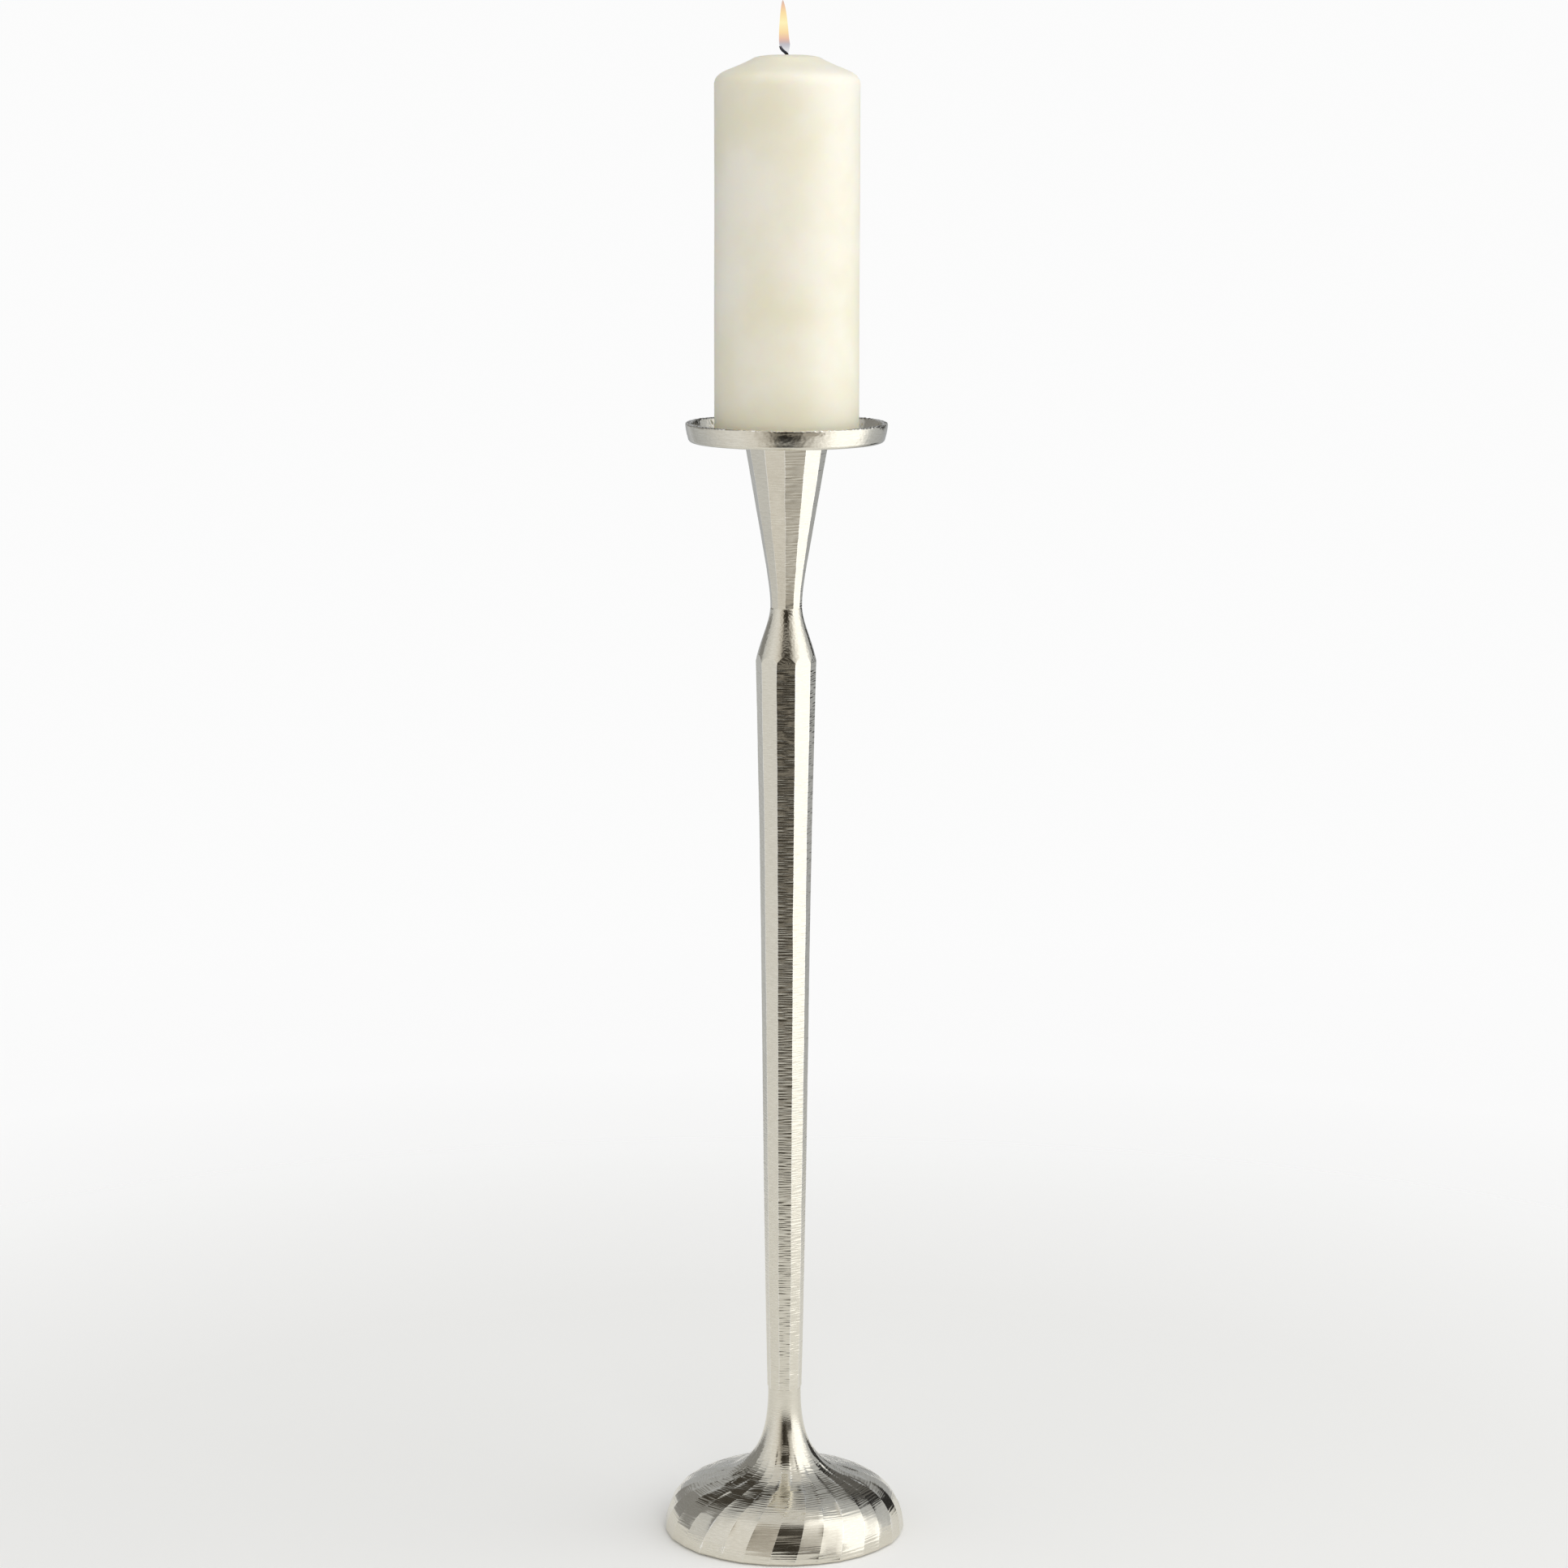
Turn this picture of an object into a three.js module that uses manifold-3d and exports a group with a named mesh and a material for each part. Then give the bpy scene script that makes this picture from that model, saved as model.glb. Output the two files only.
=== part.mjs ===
// A tall candlestick for a pillar candle: a weighted domed foot, a long ten-sided stem, a round
// collar, a twelve-sided cone and a rimmed dish, all pulled together by one threaded rod.
// Millimetres, +Z up. The origin is on the table, at the centre of the foot.
import * as THREE from "three";
import { mergeVertices } from "three/addons/utils/BufferGeometryUtils.js";
import Module from "manifold-3d";

const wasm = await Module();
wasm.setup();

// ---- Driving dimensions -------------------------------------------------------------------
const GAP = 0.3; // air left between two pieces that touch

// Seams between the cast pieces, as heights above the table
const NECK_SEAM = 80; // foot to stem
const SHOULDER_SEAM = 479.3; // stem to collar
const WAIST_SEAM = 508; // collar to cone
const SEAT_SEAM = 595.6; // cone to dish

// Foot
const FELT_RADIUS = 60;
const FELT_THICKNESS = 2;
const FELT_PROUD = 0.5; // the casting's rim hangs this far above the table
const FOOT_RADIUS = 65.3;
const FOOT_EDGE_RADIUS = 1.2; // small round along the rim's lower edge
const FOOT_WALL = 4;
const FOOT_FACETS = 30;
const NECK_RADIUS = 8.9;
const NECK_FLARE_TOP = 76; // the neck is straight above this height
const BROW_RADIUS = 30.9; // where the flare of the neck turns into the dome
const BROW_HEIGHT = 33.1;
const BOSS_RADIUS = 11;
const BOSS_BOTTOM = 22.3; // the boss stands on the ballast

// Stem, collar and cone: radii are to the corners of the many-sided section
const STEM_SIDES = 10;
const STEM_FOOT_RADIUS = 9.35; // its corners stand a little proud of the round neck
const SHOULDER_RADIUS = 16.1;
const CONE_SIDES = 12;
const WAIST_RADIUS = 8.5;
const CONE_TOP_RADIUS = 22.2;

// Dish
const DISH_RIM_RADIUS = 53.2;
const DISH_HEIGHT = 10.7;
const DISH_FLOOR = 3;
const DISH_WALL = 2.8;
const DISH_LEAN = 1.1; // the side is this much narrower at the foot of the wall
const DISH_CORNER = 2.4; // outside round between floor and wall
const OPEN_FLOOR_MARGIN = 1.5; // the open ring of floor starts this far outside the candle

// Clamping hardware: an M8 rod with its nut, and an M5 countersunk screw
const ROD_RADIUS = 4;
const ROD_BOTTOM = 3.5;
const ROD_TOP = 545;
const ROD_BORE = ROD_RADIUS + 0.4;
const WASHER_RADIUS = 12;
const WASHER_THICKNESS = 1.6;
const LOCK_WASHER_RADIUS = 7.4;
const LOCK_WASHER_THICKNESS = 2;
const NUT_ACROSS_FLATS = 13;
const NUT_HEIGHT = 6.5;
const POCKET_RADIUS = 16; // the pocket in the ballast that holds nut and washers
const POCKET_TOP = 16;
const SCREW_RADIUS = 2.5;
const SCREW_BORE = SCREW_RADIUS + 0.35;
const SCREW_HEAD_RADIUS = 4.7;
const SCREW_LENGTH = 20;
const SOCKET_ACROSS_FLATS = 3;
const SOCKET_DEPTH = 2;

// Candle
const CANDLE_RADIUS = 38.1;
const CANDLE_TOP = 796.5;
const CANDLE_SHOULDER = 780; // the straight side ends here
const WICK_RADIUS = 0.9;
const WICK_BORE = WICK_RADIUS + 0.35;
const TIN_RADIUS = 10;
const TIN_THICKNESS = 0.6;
const TIN_NECK_RADIUS = 2;
const TIN_NECK_HEIGHT = 6;

// ---- Finishes -----------------------------------------------------------------------------
const finish = (color, roughness, metalness) =>
  new THREE.MeshStandardMaterial({ color, roughness, metalness });
const platedCasting = finish(0xcbc8b8, 0.28, 1);
const castIron = finish(0x3b3a39, 0.7, 0.8);
const zincSteel = finish(0xa9abad, 0.4, 1);
const greyFelt = finish(0x4a4a4c, 0.95, 0);
const ivoryWax = finish(0xe6e1cd, 0.45, 0);
const cottonWick = finish(0x1c1a19, 0.9, 0);
const tinPlate = finish(0xc9cacb, 0.3, 1);

// ---- Making solids ------------------------------------------------------------------------
const ROUND = 36; // sides of a large round piece
const SMALL_ROUND = 24; // sides of a small round piece
const CURVE_STEPS = 6; // straight steps along one curve of an outline

// Turns an outline about +Z. x is the radius and y the height, and each outline runs up the
// outside first. The corner at firstCorner (radians) from -Y is the first of the sides.
function turned(outline, sides, firstCorner = 0) {
  const geometry = new THREE.LatheGeometry(outline.getPoints(CURVE_STEPS), sides, firstCorner);
  geometry.rotateX(Math.PI / 2);
  return geometry;
}

// A round or many-sided bar standing on a height, such as a bore or a hexagon.
function bar(radius, bottom, top, sides = SMALL_ROUND) {
  const geometry = new THREE.CylinderGeometry(radius, radius, top - bottom, sides);
  geometry.rotateX(Math.PI / 2);
  geometry.translate(0, 0, (bottom + top) / 2);
  return geometry;
}

function toSolid(geometry) {
  const bare = geometry.clone();
  bare.deleteAttribute("normal");
  bare.deleteAttribute("uv");
  const merged = mergeVertices(bare, 1e-4);
  return new wasm.Manifold(
    new wasm.Mesh({
      numProp: 3,
      vertProperties: new Float32Array(merged.attributes.position.array),
      triVerts: new Uint32Array(merged.index.array),
    }),
  );
}

function toGeometry(solid) {
  const mesh = solid.getMesh();
  const geometry = new THREE.BufferGeometry();
  geometry.setAttribute("position", new THREE.BufferAttribute(mesh.vertProperties, mesh.numProp));
  geometry.setIndex(new THREE.BufferAttribute(mesh.triVerts, 1));
  geometry.computeVertexNormals();
  return geometry;
}

function cutAway(blank, ...tools) {
  const left = tools.reduce((solid, tool) => solid.subtract(toSolid(tool)), toSolid(blank));
  return toGeometry(left);
}

const circumradius = (acrossFlats, sides) => acrossFlats / 2 / Math.cos(Math.PI / sides);

const candlestick = new THREE.Group();

function place(name, geometry, material) {
  const mesh = new THREE.Mesh(geometry, material);
  mesh.name = name;
  candlestick.add(mesh);
}

// ---- Foot ---------------------------------------------------------------------------------
function feltPad() {
  return bar(FELT_RADIUS, 0, FELT_THICKNESS, ROUND);
}

// A hollow casting. The outside runs up the dome and the flare of the neck; the inside comes
// back down the bore and the boss, and out along the ceiling to the rim.
function baseDome() {
  const top = NECK_SEAM - GAP;
  const edge = FOOT_EDGE_RADIUS;
  const rimBottom = FELT_PROUD;
  const inside = FOOT_RADIUS - FOOT_WALL - 0.5;
  const outline = new THREE.Path();
  outline.moveTo(FOOT_RADIUS - edge, rimBottom);
  outline.quadraticCurveTo(FOOT_RADIUS, rimBottom, FOOT_RADIUS, rimBottom + edge);
  outline.bezierCurveTo(FOOT_RADIUS - 2.4, 25.5, BROW_RADIUS + 17.8, 27, BROW_RADIUS, BROW_HEIGHT);
  outline.bezierCurveTo(13.7, 39.5, NECK_RADIUS + 0.5, 55.5, NECK_RADIUS, NECK_FLARE_TOP);
  outline.lineTo(NECK_RADIUS, top);
  outline.lineTo(ROD_BORE, top);
  outline.lineTo(ROD_BORE, BOSS_BOTTOM);
  outline.lineTo(BOSS_RADIUS, BOSS_BOTTOM);
  outline.lineTo(BOSS_RADIUS + 1, BROW_HEIGHT - FOOT_WALL + 1);
  outline.lineTo(BROW_RADIUS - 2, BROW_HEIGHT - FOOT_WALL);
  outline.bezierCurveTo(BROW_RADIUS + 17, 24, inside - 2, 20, inside, rimBottom + 2);
  outline.lineTo(inside, rimBottom);
  outline.closePath();
  return turned(outline, FOOT_FACETS);
}

// A slab that fills the lower half of the dome, with a pocket under it for nut and washers.
function ballastWeight() {
  const bottom = FELT_THICKNESS + GAP;
  const top = BOSS_BOTTOM - GAP;
  const outline = new THREE.Path();
  outline.moveTo(POCKET_RADIUS, bottom);
  outline.lineTo(57.5, bottom);
  outline.lineTo(57.5, 8);
  outline.lineTo(54.5, 13);
  outline.lineTo(48, 18.5);
  outline.lineTo(38, top);
  outline.lineTo(ROD_BORE, top);
  outline.lineTo(ROD_BORE, POCKET_TOP);
  outline.lineTo(POCKET_RADIUS, POCKET_TOP);
  outline.closePath();
  return turned(outline, ROUND);
}

// ---- Clamping hardware --------------------------------------------------------------------
const WASHER_TOP = POCKET_TOP - GAP;
const LOCK_WASHER_TOP = WASHER_TOP - WASHER_THICKNESS - GAP;
const NUT_TOP = LOCK_WASHER_TOP - LOCK_WASHER_THICKNESS - GAP;

function clampWasher() {
  const disc = bar(WASHER_RADIUS, WASHER_TOP - WASHER_THICKNESS, WASHER_TOP, ROUND);
  return cutAway(disc, bar(ROD_BORE, 0, WASHER_TOP + 1));
}

// A spring washer: a ring with one slanting cut through it.
function lockWasher() {
  const bottom = LOCK_WASHER_TOP - LOCK_WASHER_THICKNESS;
  const ring = bar(LOCK_WASHER_RADIUS, bottom, LOCK_WASHER_TOP);
  const split = new THREE.BoxGeometry(LOCK_WASHER_RADIUS, 1.6, 4 * LOCK_WASHER_THICKNESS);
  split.rotateX(Math.PI / 9);
  split.translate(LOCK_WASHER_RADIUS - 1, 0, bottom + LOCK_WASHER_THICKNESS / 2);
  return cutAway(ring, bar(ROD_BORE, 0, LOCK_WASHER_TOP + 1), split);
}

// A hexagon whose corners are chamfered by a turned shape.
function clampNut() {
  const corner = circumradius(NUT_ACROSS_FLATS, 6);
  const flat = NUT_ACROSS_FLATS / 2;
  const bottom = NUT_TOP - NUT_HEIGHT;
  const chamfer = new THREE.Path();
  chamfer.moveTo(0, bottom);
  chamfer.lineTo(flat, bottom);
  chamfer.lineTo(corner + 0.1, bottom + 0.7);
  chamfer.lineTo(corner + 0.1, NUT_TOP - 0.7);
  chamfer.lineTo(flat, NUT_TOP);
  chamfer.lineTo(0, NUT_TOP);
  const hexagon = toSolid(bar(corner, bottom, NUT_TOP, 6));
  const blank = toGeometry(hexagon.intersect(toSolid(turned(chamfer, SMALL_ROUND))));
  return cutAway(blank, bar(ROD_BORE, 0, NUT_TOP + 1));
}

function tieRod() {
  const bevel = 0.8;
  const outline = new THREE.Path();
  outline.moveTo(0, ROD_BOTTOM);
  outline.lineTo(ROD_RADIUS - bevel, ROD_BOTTOM);
  outline.lineTo(ROD_RADIUS, ROD_BOTTOM + bevel);
  outline.lineTo(ROD_RADIUS, ROD_TOP - bevel);
  outline.lineTo(ROD_RADIUS - bevel, ROD_TOP);
  outline.lineTo(0, ROD_TOP);
  return turned(outline, SMALL_ROUND);
}

// ---- Stem, collar and cone ----------------------------------------------------------------
// A ten-sided bar with one flat face to the front, swelling gently up to the shoulder.
function lowerStem() {
  const top = SHOULDER_SEAM - GAP;
  const outline = new THREE.Path();
  outline.moveTo(0, NECK_SEAM);
  outline.lineTo(STEM_FOOT_RADIUS, NECK_SEAM);
  outline.bezierCurveTo(12, 200, 12.2, 275, 14.1, 390);
  outline.lineTo(15.9, 470);
  outline.lineTo(SHOULDER_RADIUS, top - 2);
  outline.lineTo(SHOULDER_RADIUS, top);
  outline.lineTo(0, top);
  const blank = turned(outline, STEM_SIDES, Math.PI / STEM_SIDES);
  return cutAway(blank, bar(ROD_BORE, NECK_SEAM - 1, top + 1));
}

// A round ogee from the shoulder of the stem in to the waist.
function neckCollar() {
  const top = WAIST_SEAM - GAP;
  const outline = new THREE.Path();
  outline.moveTo(ROD_BORE, SHOULDER_SEAM);
  outline.lineTo(SHOULDER_RADIUS, SHOULDER_SEAM);
  outline.bezierCurveTo(13.9, 490.6, WAIST_RADIUS, 500.6, WAIST_RADIUS, top);
  outline.lineTo(ROD_BORE, top);
  outline.closePath();
  return turned(outline, ROUND);
}

// A twelve-sided cone with one corner to the front, drilled from below for the rod and from
// above for the dish screw.
function upperCone() {
  const top = SEAT_SEAM - GAP;
  const outline = new THREE.Path();
  outline.moveTo(0, WAIST_SEAM);
  outline.lineTo(WAIST_RADIUS, WAIST_SEAM);
  outline.bezierCurveTo(WAIST_RADIUS - 0.2, 515, 9.6, 522, 10.9, 531);
  outline.lineTo(CONE_TOP_RADIUS, top);
  outline.lineTo(0, top);
  const rodHole = bar(ROD_BORE, WAIST_SEAM - 1, ROD_TOP + 1);
  const screwHole = bar(SCREW_BORE, SCREW_TOP - SCREW_LENGTH - 1, top + 1);
  return cutAway(turned(outline, CONE_SIDES), rodHole, screwHole);
}

// ---- Dish ---------------------------------------------------------------------------------
const DISH_FLOOR_TOP = SEAT_SEAM + DISH_FLOOR;
const SCREW_TOP = DISH_FLOOR_TOP - 0.1;

// A tray with a low wall that leans out a little, and a countersunk hole in its floor.
function dish() {
  const rimTop = SEAT_SEAM + DISH_HEIGHT;
  const footRadius = DISH_RIM_RADIUS - DISH_LEAN;
  const rimRound = DISH_WALL / 2;
  const countersink = SCREW_HEAD_RADIUS + 0.5;
  const outline = new THREE.Path();
  outline.moveTo(SCREW_BORE, SEAT_SEAM);
  outline.lineTo(footRadius - DISH_CORNER, SEAT_SEAM);
  outline.quadraticCurveTo(footRadius, SEAT_SEAM, footRadius, SEAT_SEAM + DISH_CORNER);
  outline.lineTo(DISH_RIM_RADIUS, rimTop - rimRound / 2);
  outline.quadraticCurveTo(DISH_RIM_RADIUS, rimTop, DISH_RIM_RADIUS - rimRound, rimTop);
  outline.lineTo(DISH_RIM_RADIUS - DISH_WALL, rimTop - rimRound / 2);
  outline.lineTo(footRadius - DISH_WALL, DISH_FLOOR_TOP + 1);
  outline.lineTo(footRadius - DISH_WALL - 1, DISH_FLOOR_TOP);
  outline.lineTo(CANDLE_RADIUS + OPEN_FLOOR_MARGIN, DISH_FLOOR_TOP);
  outline.lineTo(countersink, DISH_FLOOR_TOP);
  outline.lineTo(SCREW_BORE, DISH_FLOOR_TOP - countersink + SCREW_BORE);
  outline.closePath();
  return turned(outline, ROUND);
}

// A countersunk screw with a hexagon socket, its head just below the dish floor.
function dishScrew() {
  const neck = SCREW_TOP - SCREW_HEAD_RADIUS + SCREW_RADIUS;
  const tip = SCREW_TOP - SCREW_LENGTH;
  const outline = new THREE.Path();
  outline.moveTo(0, tip);
  outline.lineTo(SCREW_RADIUS - 0.5, tip);
  outline.lineTo(SCREW_RADIUS, tip + 0.5);
  outline.lineTo(SCREW_RADIUS, neck);
  outline.lineTo(SCREW_HEAD_RADIUS, SCREW_TOP);
  outline.lineTo(0, SCREW_TOP);
  const socketCorner = circumradius(SOCKET_ACROSS_FLATS, 6);
  const socket = bar(socketCorner, SCREW_TOP - SOCKET_DEPTH, SCREW_TOP + 1, 6);
  return cutAway(turned(outline, SMALL_ROUND), socket);
}

// ---- Candle -------------------------------------------------------------------------------
const CANDLE_FOOT = DISH_FLOOR_TOP + GAP;
const TIN_BOTTOM = CANDLE_FOOT + 0.1;

// A moulded pillar: straight side, rounded shoulder, sloping top with a small flat crown. The
// wick's bore runs up its middle, and its foot is recessed for the tin.
function candle() {
  const tinRecess = TIN_BOTTOM + TIN_THICKNESS + GAP;
  const neckRecess = TIN_BOTTOM + TIN_NECK_HEIGHT + GAP;
  const outline = new THREE.Path();
  outline.moveTo(TIN_RADIUS + GAP, CANDLE_FOOT);
  outline.lineTo(CANDLE_RADIUS - 0.8, CANDLE_FOOT);
  outline.lineTo(CANDLE_RADIUS, CANDLE_FOOT + 0.8);
  outline.lineTo(CANDLE_RADIUS, CANDLE_SHOULDER);
  outline.bezierCurveTo(CANDLE_RADIUS + 0.5, 788.5, 29.6, 787.9, 17.5, 794.7);
  outline.quadraticCurveTo(14, 796.2, WICK_BORE, CANDLE_TOP);
  outline.lineTo(WICK_BORE, neckRecess);
  outline.lineTo(TIN_NECK_RADIUS + GAP, neckRecess);
  outline.lineTo(TIN_NECK_RADIUS + GAP, tinRecess);
  outline.lineTo(TIN_RADIUS + GAP, tinRecess);
  outline.closePath();
  return turned(outline, ROUND);
}

// A thin tin disc with a crimped neck that grips the foot of the wick.
function wickSustainer() {
  const discTop = TIN_BOTTOM + TIN_THICKNESS;
  const outline = new THREE.Path();
  outline.moveTo(WICK_BORE, TIN_BOTTOM);
  outline.lineTo(TIN_RADIUS, TIN_BOTTOM);
  outline.lineTo(TIN_RADIUS, discTop);
  outline.lineTo(TIN_NECK_RADIUS, discTop);
  outline.lineTo(TIN_NECK_RADIUS, TIN_BOTTOM + TIN_NECK_HEIGHT);
  outline.lineTo(WICK_BORE, TIN_BOTTOM + TIN_NECK_HEIGHT);
  outline.closePath();
  return turned(outline, SMALL_ROUND);
}

// A straight wick in its bore, joined to the burnt end that curls over above the wax.
function wick() {
  const sides = 8;
  const bend = CANDLE_TOP - 1;
  const straight = bar(WICK_RADIUS, TIN_BOTTOM + 0.2, bend + 0.5, sides);
  const section = new THREE.Shape().absarc(0, 0, WICK_RADIUS, 0, 2 * Math.PI);
  const curl = new THREE.CubicBezierCurve3(
    new THREE.Vector3(0, 0, bend),
    new THREE.Vector3(0, 0, bend + 2.2),
    new THREE.Vector3(-3, 0, bend + 2.2),
    new THREE.Vector3(-3.7, 0, bend + 5.2),
  );
  const end = new THREE.ExtrudeGeometry(section, {
    steps: sides,
    curveSegments: sides / 2,
    extrudePath: curl,
  });
  return toGeometry(toSolid(straight).add(toSolid(end)));
}

// ---- Assembly, from the table up ----------------------------------------------------------
place("felt_pad", feltPad(), greyFelt);
place("base_dome", baseDome(), platedCasting);
place("ballast_weight", ballastWeight(), castIron);
place("clamp_washer", clampWasher(), zincSteel);
place("lock_washer", lockWasher(), zincSteel);
place("clamp_nut", clampNut(), zincSteel);
place("tie_rod", tieRod(), zincSteel);
place("lower_stem", lowerStem(), platedCasting);
place("neck_collar", neckCollar(), platedCasting);
place("upper_cone", upperCone(), platedCasting);
place("dish", dish(), platedCasting);
place("dish_screw", dishScrew(), zincSteel);
place("candle", candle(), ivoryWax);
place("wick_sustainer", wickSustainer(), tinPlate);
place("wick", wick(), cottonWick);

export default candlestick;
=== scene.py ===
# %% [markdown]
# # A filed and plated candlestick
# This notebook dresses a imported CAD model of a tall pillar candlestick. The CAD model holds every
# size and joint, and nothing here moves or resizes it. Each piece that the eye sees is made again
# as a fine surface in the place its CAD solid holds: the hand-filed flats, the round neck, the
# rimmed dish, the wax candle with its wick and flame. Hidden pieces keep their CAD shape.

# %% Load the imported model
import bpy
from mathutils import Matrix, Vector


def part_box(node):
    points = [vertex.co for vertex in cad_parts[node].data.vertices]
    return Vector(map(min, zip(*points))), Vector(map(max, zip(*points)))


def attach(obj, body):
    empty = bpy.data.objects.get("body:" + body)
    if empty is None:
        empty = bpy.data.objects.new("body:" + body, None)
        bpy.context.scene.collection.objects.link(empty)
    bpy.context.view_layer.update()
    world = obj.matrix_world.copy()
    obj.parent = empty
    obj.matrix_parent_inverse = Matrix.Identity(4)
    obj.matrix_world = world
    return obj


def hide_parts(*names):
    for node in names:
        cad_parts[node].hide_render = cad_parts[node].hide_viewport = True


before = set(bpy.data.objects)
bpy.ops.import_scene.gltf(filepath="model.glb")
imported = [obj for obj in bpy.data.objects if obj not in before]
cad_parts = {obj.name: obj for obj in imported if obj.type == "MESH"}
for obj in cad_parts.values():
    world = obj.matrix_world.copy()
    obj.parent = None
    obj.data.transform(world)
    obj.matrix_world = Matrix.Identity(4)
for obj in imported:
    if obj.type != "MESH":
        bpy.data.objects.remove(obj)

# %% Libraries, units and the box the design fills
import math

import bpy
import numpy as np
from mathutils import Matrix, Vector

MM = 0.001
rng = np.random.default_rng(29)
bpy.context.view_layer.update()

# %% [markdown]
# ## Small helpers for materials
# Colours are picked as sRGB hex codes, which is how a colour reads on a screen, but Blender mixes
# light in linear numbers, so one function turns the one into the other. Shader nodes are many and
# small, so one function adds a node, sets what it is told, and joins its inputs.

# %% Colour and node helpers
SMOOTH = {"interpolation_type": "SMOOTHSTEP"}  # Map Range with soft ends
COLOURS = {"data_type": "RGBA", "clamp_factor": True}  # Mix: factor at 0, colours at 6 and 7


def linear(hex_code):
    """sRGB to linear: c / 12.92 up to 0.04045, and ((c + 0.055) / 1.055) ** 2.4 above it."""
    channels = [int(hex_code[i : i + 2], 16) / 255 for i in (1, 3, 5)]
    straight = [c / 12.92 if c <= 0.04045 else ((c + 0.055) / 1.055) ** 2.4 for c in channels]
    return (*straight, 1.0)


def add(tree, kind, inputs=(), stops=(), **settings):
    """Adds one node and returns it.

    settings are the node's own properties and stops a colour ramp's (position, colour) pairs.
    inputs are named in a dict or listed in the node's own order. Each is a number, a colour, a
    socket or a node, which joins by its first output in use.
    """
    node = tree.nodes.new("ShaderNode" + kind)
    for name, value in settings.items():
        setattr(node, name, value)
    while stops and len(node.color_ramp.elements) < len(stops):
        node.color_ramp.elements.new(0.5)
    for index, (position, colour) in enumerate(stops):
        node.color_ramp.elements[index].position = position
        node.color_ramp.elements[index].color = colour
    named = inputs if isinstance(inputs, dict) else dict(enumerate(inputs))
    for name, value in named.items():
        if isinstance(value, bpy.types.Node):
            value = next(socket for socket in value.outputs if socket.enabled)
        if isinstance(value, bpy.types.NodeSocket):
            tree.links.new(value, node.inputs[name])
        else:
            node.inputs[name].default_value = value
    return node


def blank(name):
    """An empty node material, its tree, and a point's place on the piece in metres."""
    material = bpy.data.materials.new(name)
    material.use_nodes = True
    tree = material.node_tree
    tree.nodes.clear()
    return material, tree, add(tree, "TexCoord").outputs["Object"]


print("ivory in linear numbers:", [round(c, 3) for c in linear("#E9E4D1")])

# %% [markdown]
# ## Where the camera stands
# A product shot of something tall is taken from far away with a long lens, so that the stick's
# sides stay nearly parallel. The camera looks down on the foot and just skims the candle's top.

# %% Camera
CAMERA_DISTANCE = 2.262  # metres in front of the stick
CAMERA_HEIGHT = 0.797
CAMERA_PITCH = 9.63  # degrees below level
CAMERA_ROLL = 0.13
CAMERA_LENS = 98.87  # mm
CAMERA_SENSOR = 36.0  # mm wide
CAMERA_SHIFT = -0.00114

camera_data = bpy.data.cameras.new("camera")
camera_data.lens = CAMERA_LENS
camera_data.sensor_width = CAMERA_SENSOR
camera = bpy.data.objects.new("camera", camera_data)
camera.location = (0.0, -CAMERA_DISTANCE, CAMERA_HEIGHT)
tilted = Matrix.Rotation(math.radians(90 - CAMERA_PITCH), 3, "X")
camera.rotation_euler = (tilted @ Matrix.Rotation(math.radians(CAMERA_ROLL), 3, "Z")).to_euler()
camera_data.shift_x = CAMERA_SHIFT
bpy.context.scene.collection.objects.link(camera)
bpy.context.scene.camera = camera
view_angle = 2 * math.degrees(math.atan(CAMERA_SENSOR / 2 / CAMERA_LENS))
print("camera sees", round(view_angle, 1), "degrees")

# %% [markdown]
# ## The studio, as a sky
# Bright metal has hardly any colour of its own: it shows what stands round it. So the studio is
# drawn as a sky. A ring of light runs round the horizon: a white softbox stands to the right, a
# weaker one to the left, a grey wall behind, and the front is a dark gap where the photographer
# stands. Cards hang in front of the ring. Dark ones behind on both sides give the thin dark lines
# which make round metal look round, and pale strips in front lift the flats that face the
# viewer. Lamps could do it too, but a sky gives clean reflections with few samples.

# %% The ring of light, by azimuth
BRIGHTEST = 1.5
STUDIO_RING = [  # degrees from the front, counterclockwise from above, radiance, warmth
    (-180, 0.44, -0.03),
    (-160, 0.46, -0.03),
    (-148, 0.60, -0.03),
    (-135, 0.44, -0.02),
    (-128, 0.54, -0.03),
    (-108, 0.60, -0.02),
    (-86, 0.74, 0.00),
    (-62, 0.86, 0.00),
    (-42, 0.82, 0.02),
    (-30, 0.66, 0.04),
    (-19, 0.40, 0.07),
    (-11, 0.05, 0.12),
    (0, 0.03, 0.16),
    (11, 0.05, 0.12),
    (18, 0.20, 0.07),
    (26, 0.50, 0.04),
    (36, 0.78, 0.02),
    (48, 1.15, 0.01),
    (62, 1.50, 0.00),
    (94, 1.50, 0.00),
    (104, 1.10, -0.01),
    (116, 0.60, -0.03),
    (150, 0.44, -0.03),
    (180, 0.44, -0.03),
]


def grey(level, warmth=0.0):
    """A grey of this radiance. Positive warmth leans it to amber, negative to blue."""
    return (level * (1 + warmth), level, level * (1 - 1.5 * warmth), 1.0)


def ring_of_light(tree, azimuth):
    """Straight lines between the stops of STUDIO_RING. A ramp runs from 0 to 1, so it holds
    radiance / BRIGHTEST against azimuth / (2 pi) + 0.5."""
    turn = add(tree, "Math", (azimuth, 2 * math.pi), operation="DIVIDE")
    turn = add(tree, "Math", (turn, 0.5), operation="ADD")
    stops = [
        ((degrees + 180) / 360, grey(level / BRIGHTEST, warmth))
        for degrees, level, warmth in STUDIO_RING
    ]
    ramp = add(tree, "ValToRGB", {"Fac": turn}, stops)
    return add(tree, "VectorMath", {0: ramp, "Scale": BRIGHTEST}, operation="SCALE")


print("the ring has", len(STUDIO_RING), "stops")

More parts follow.
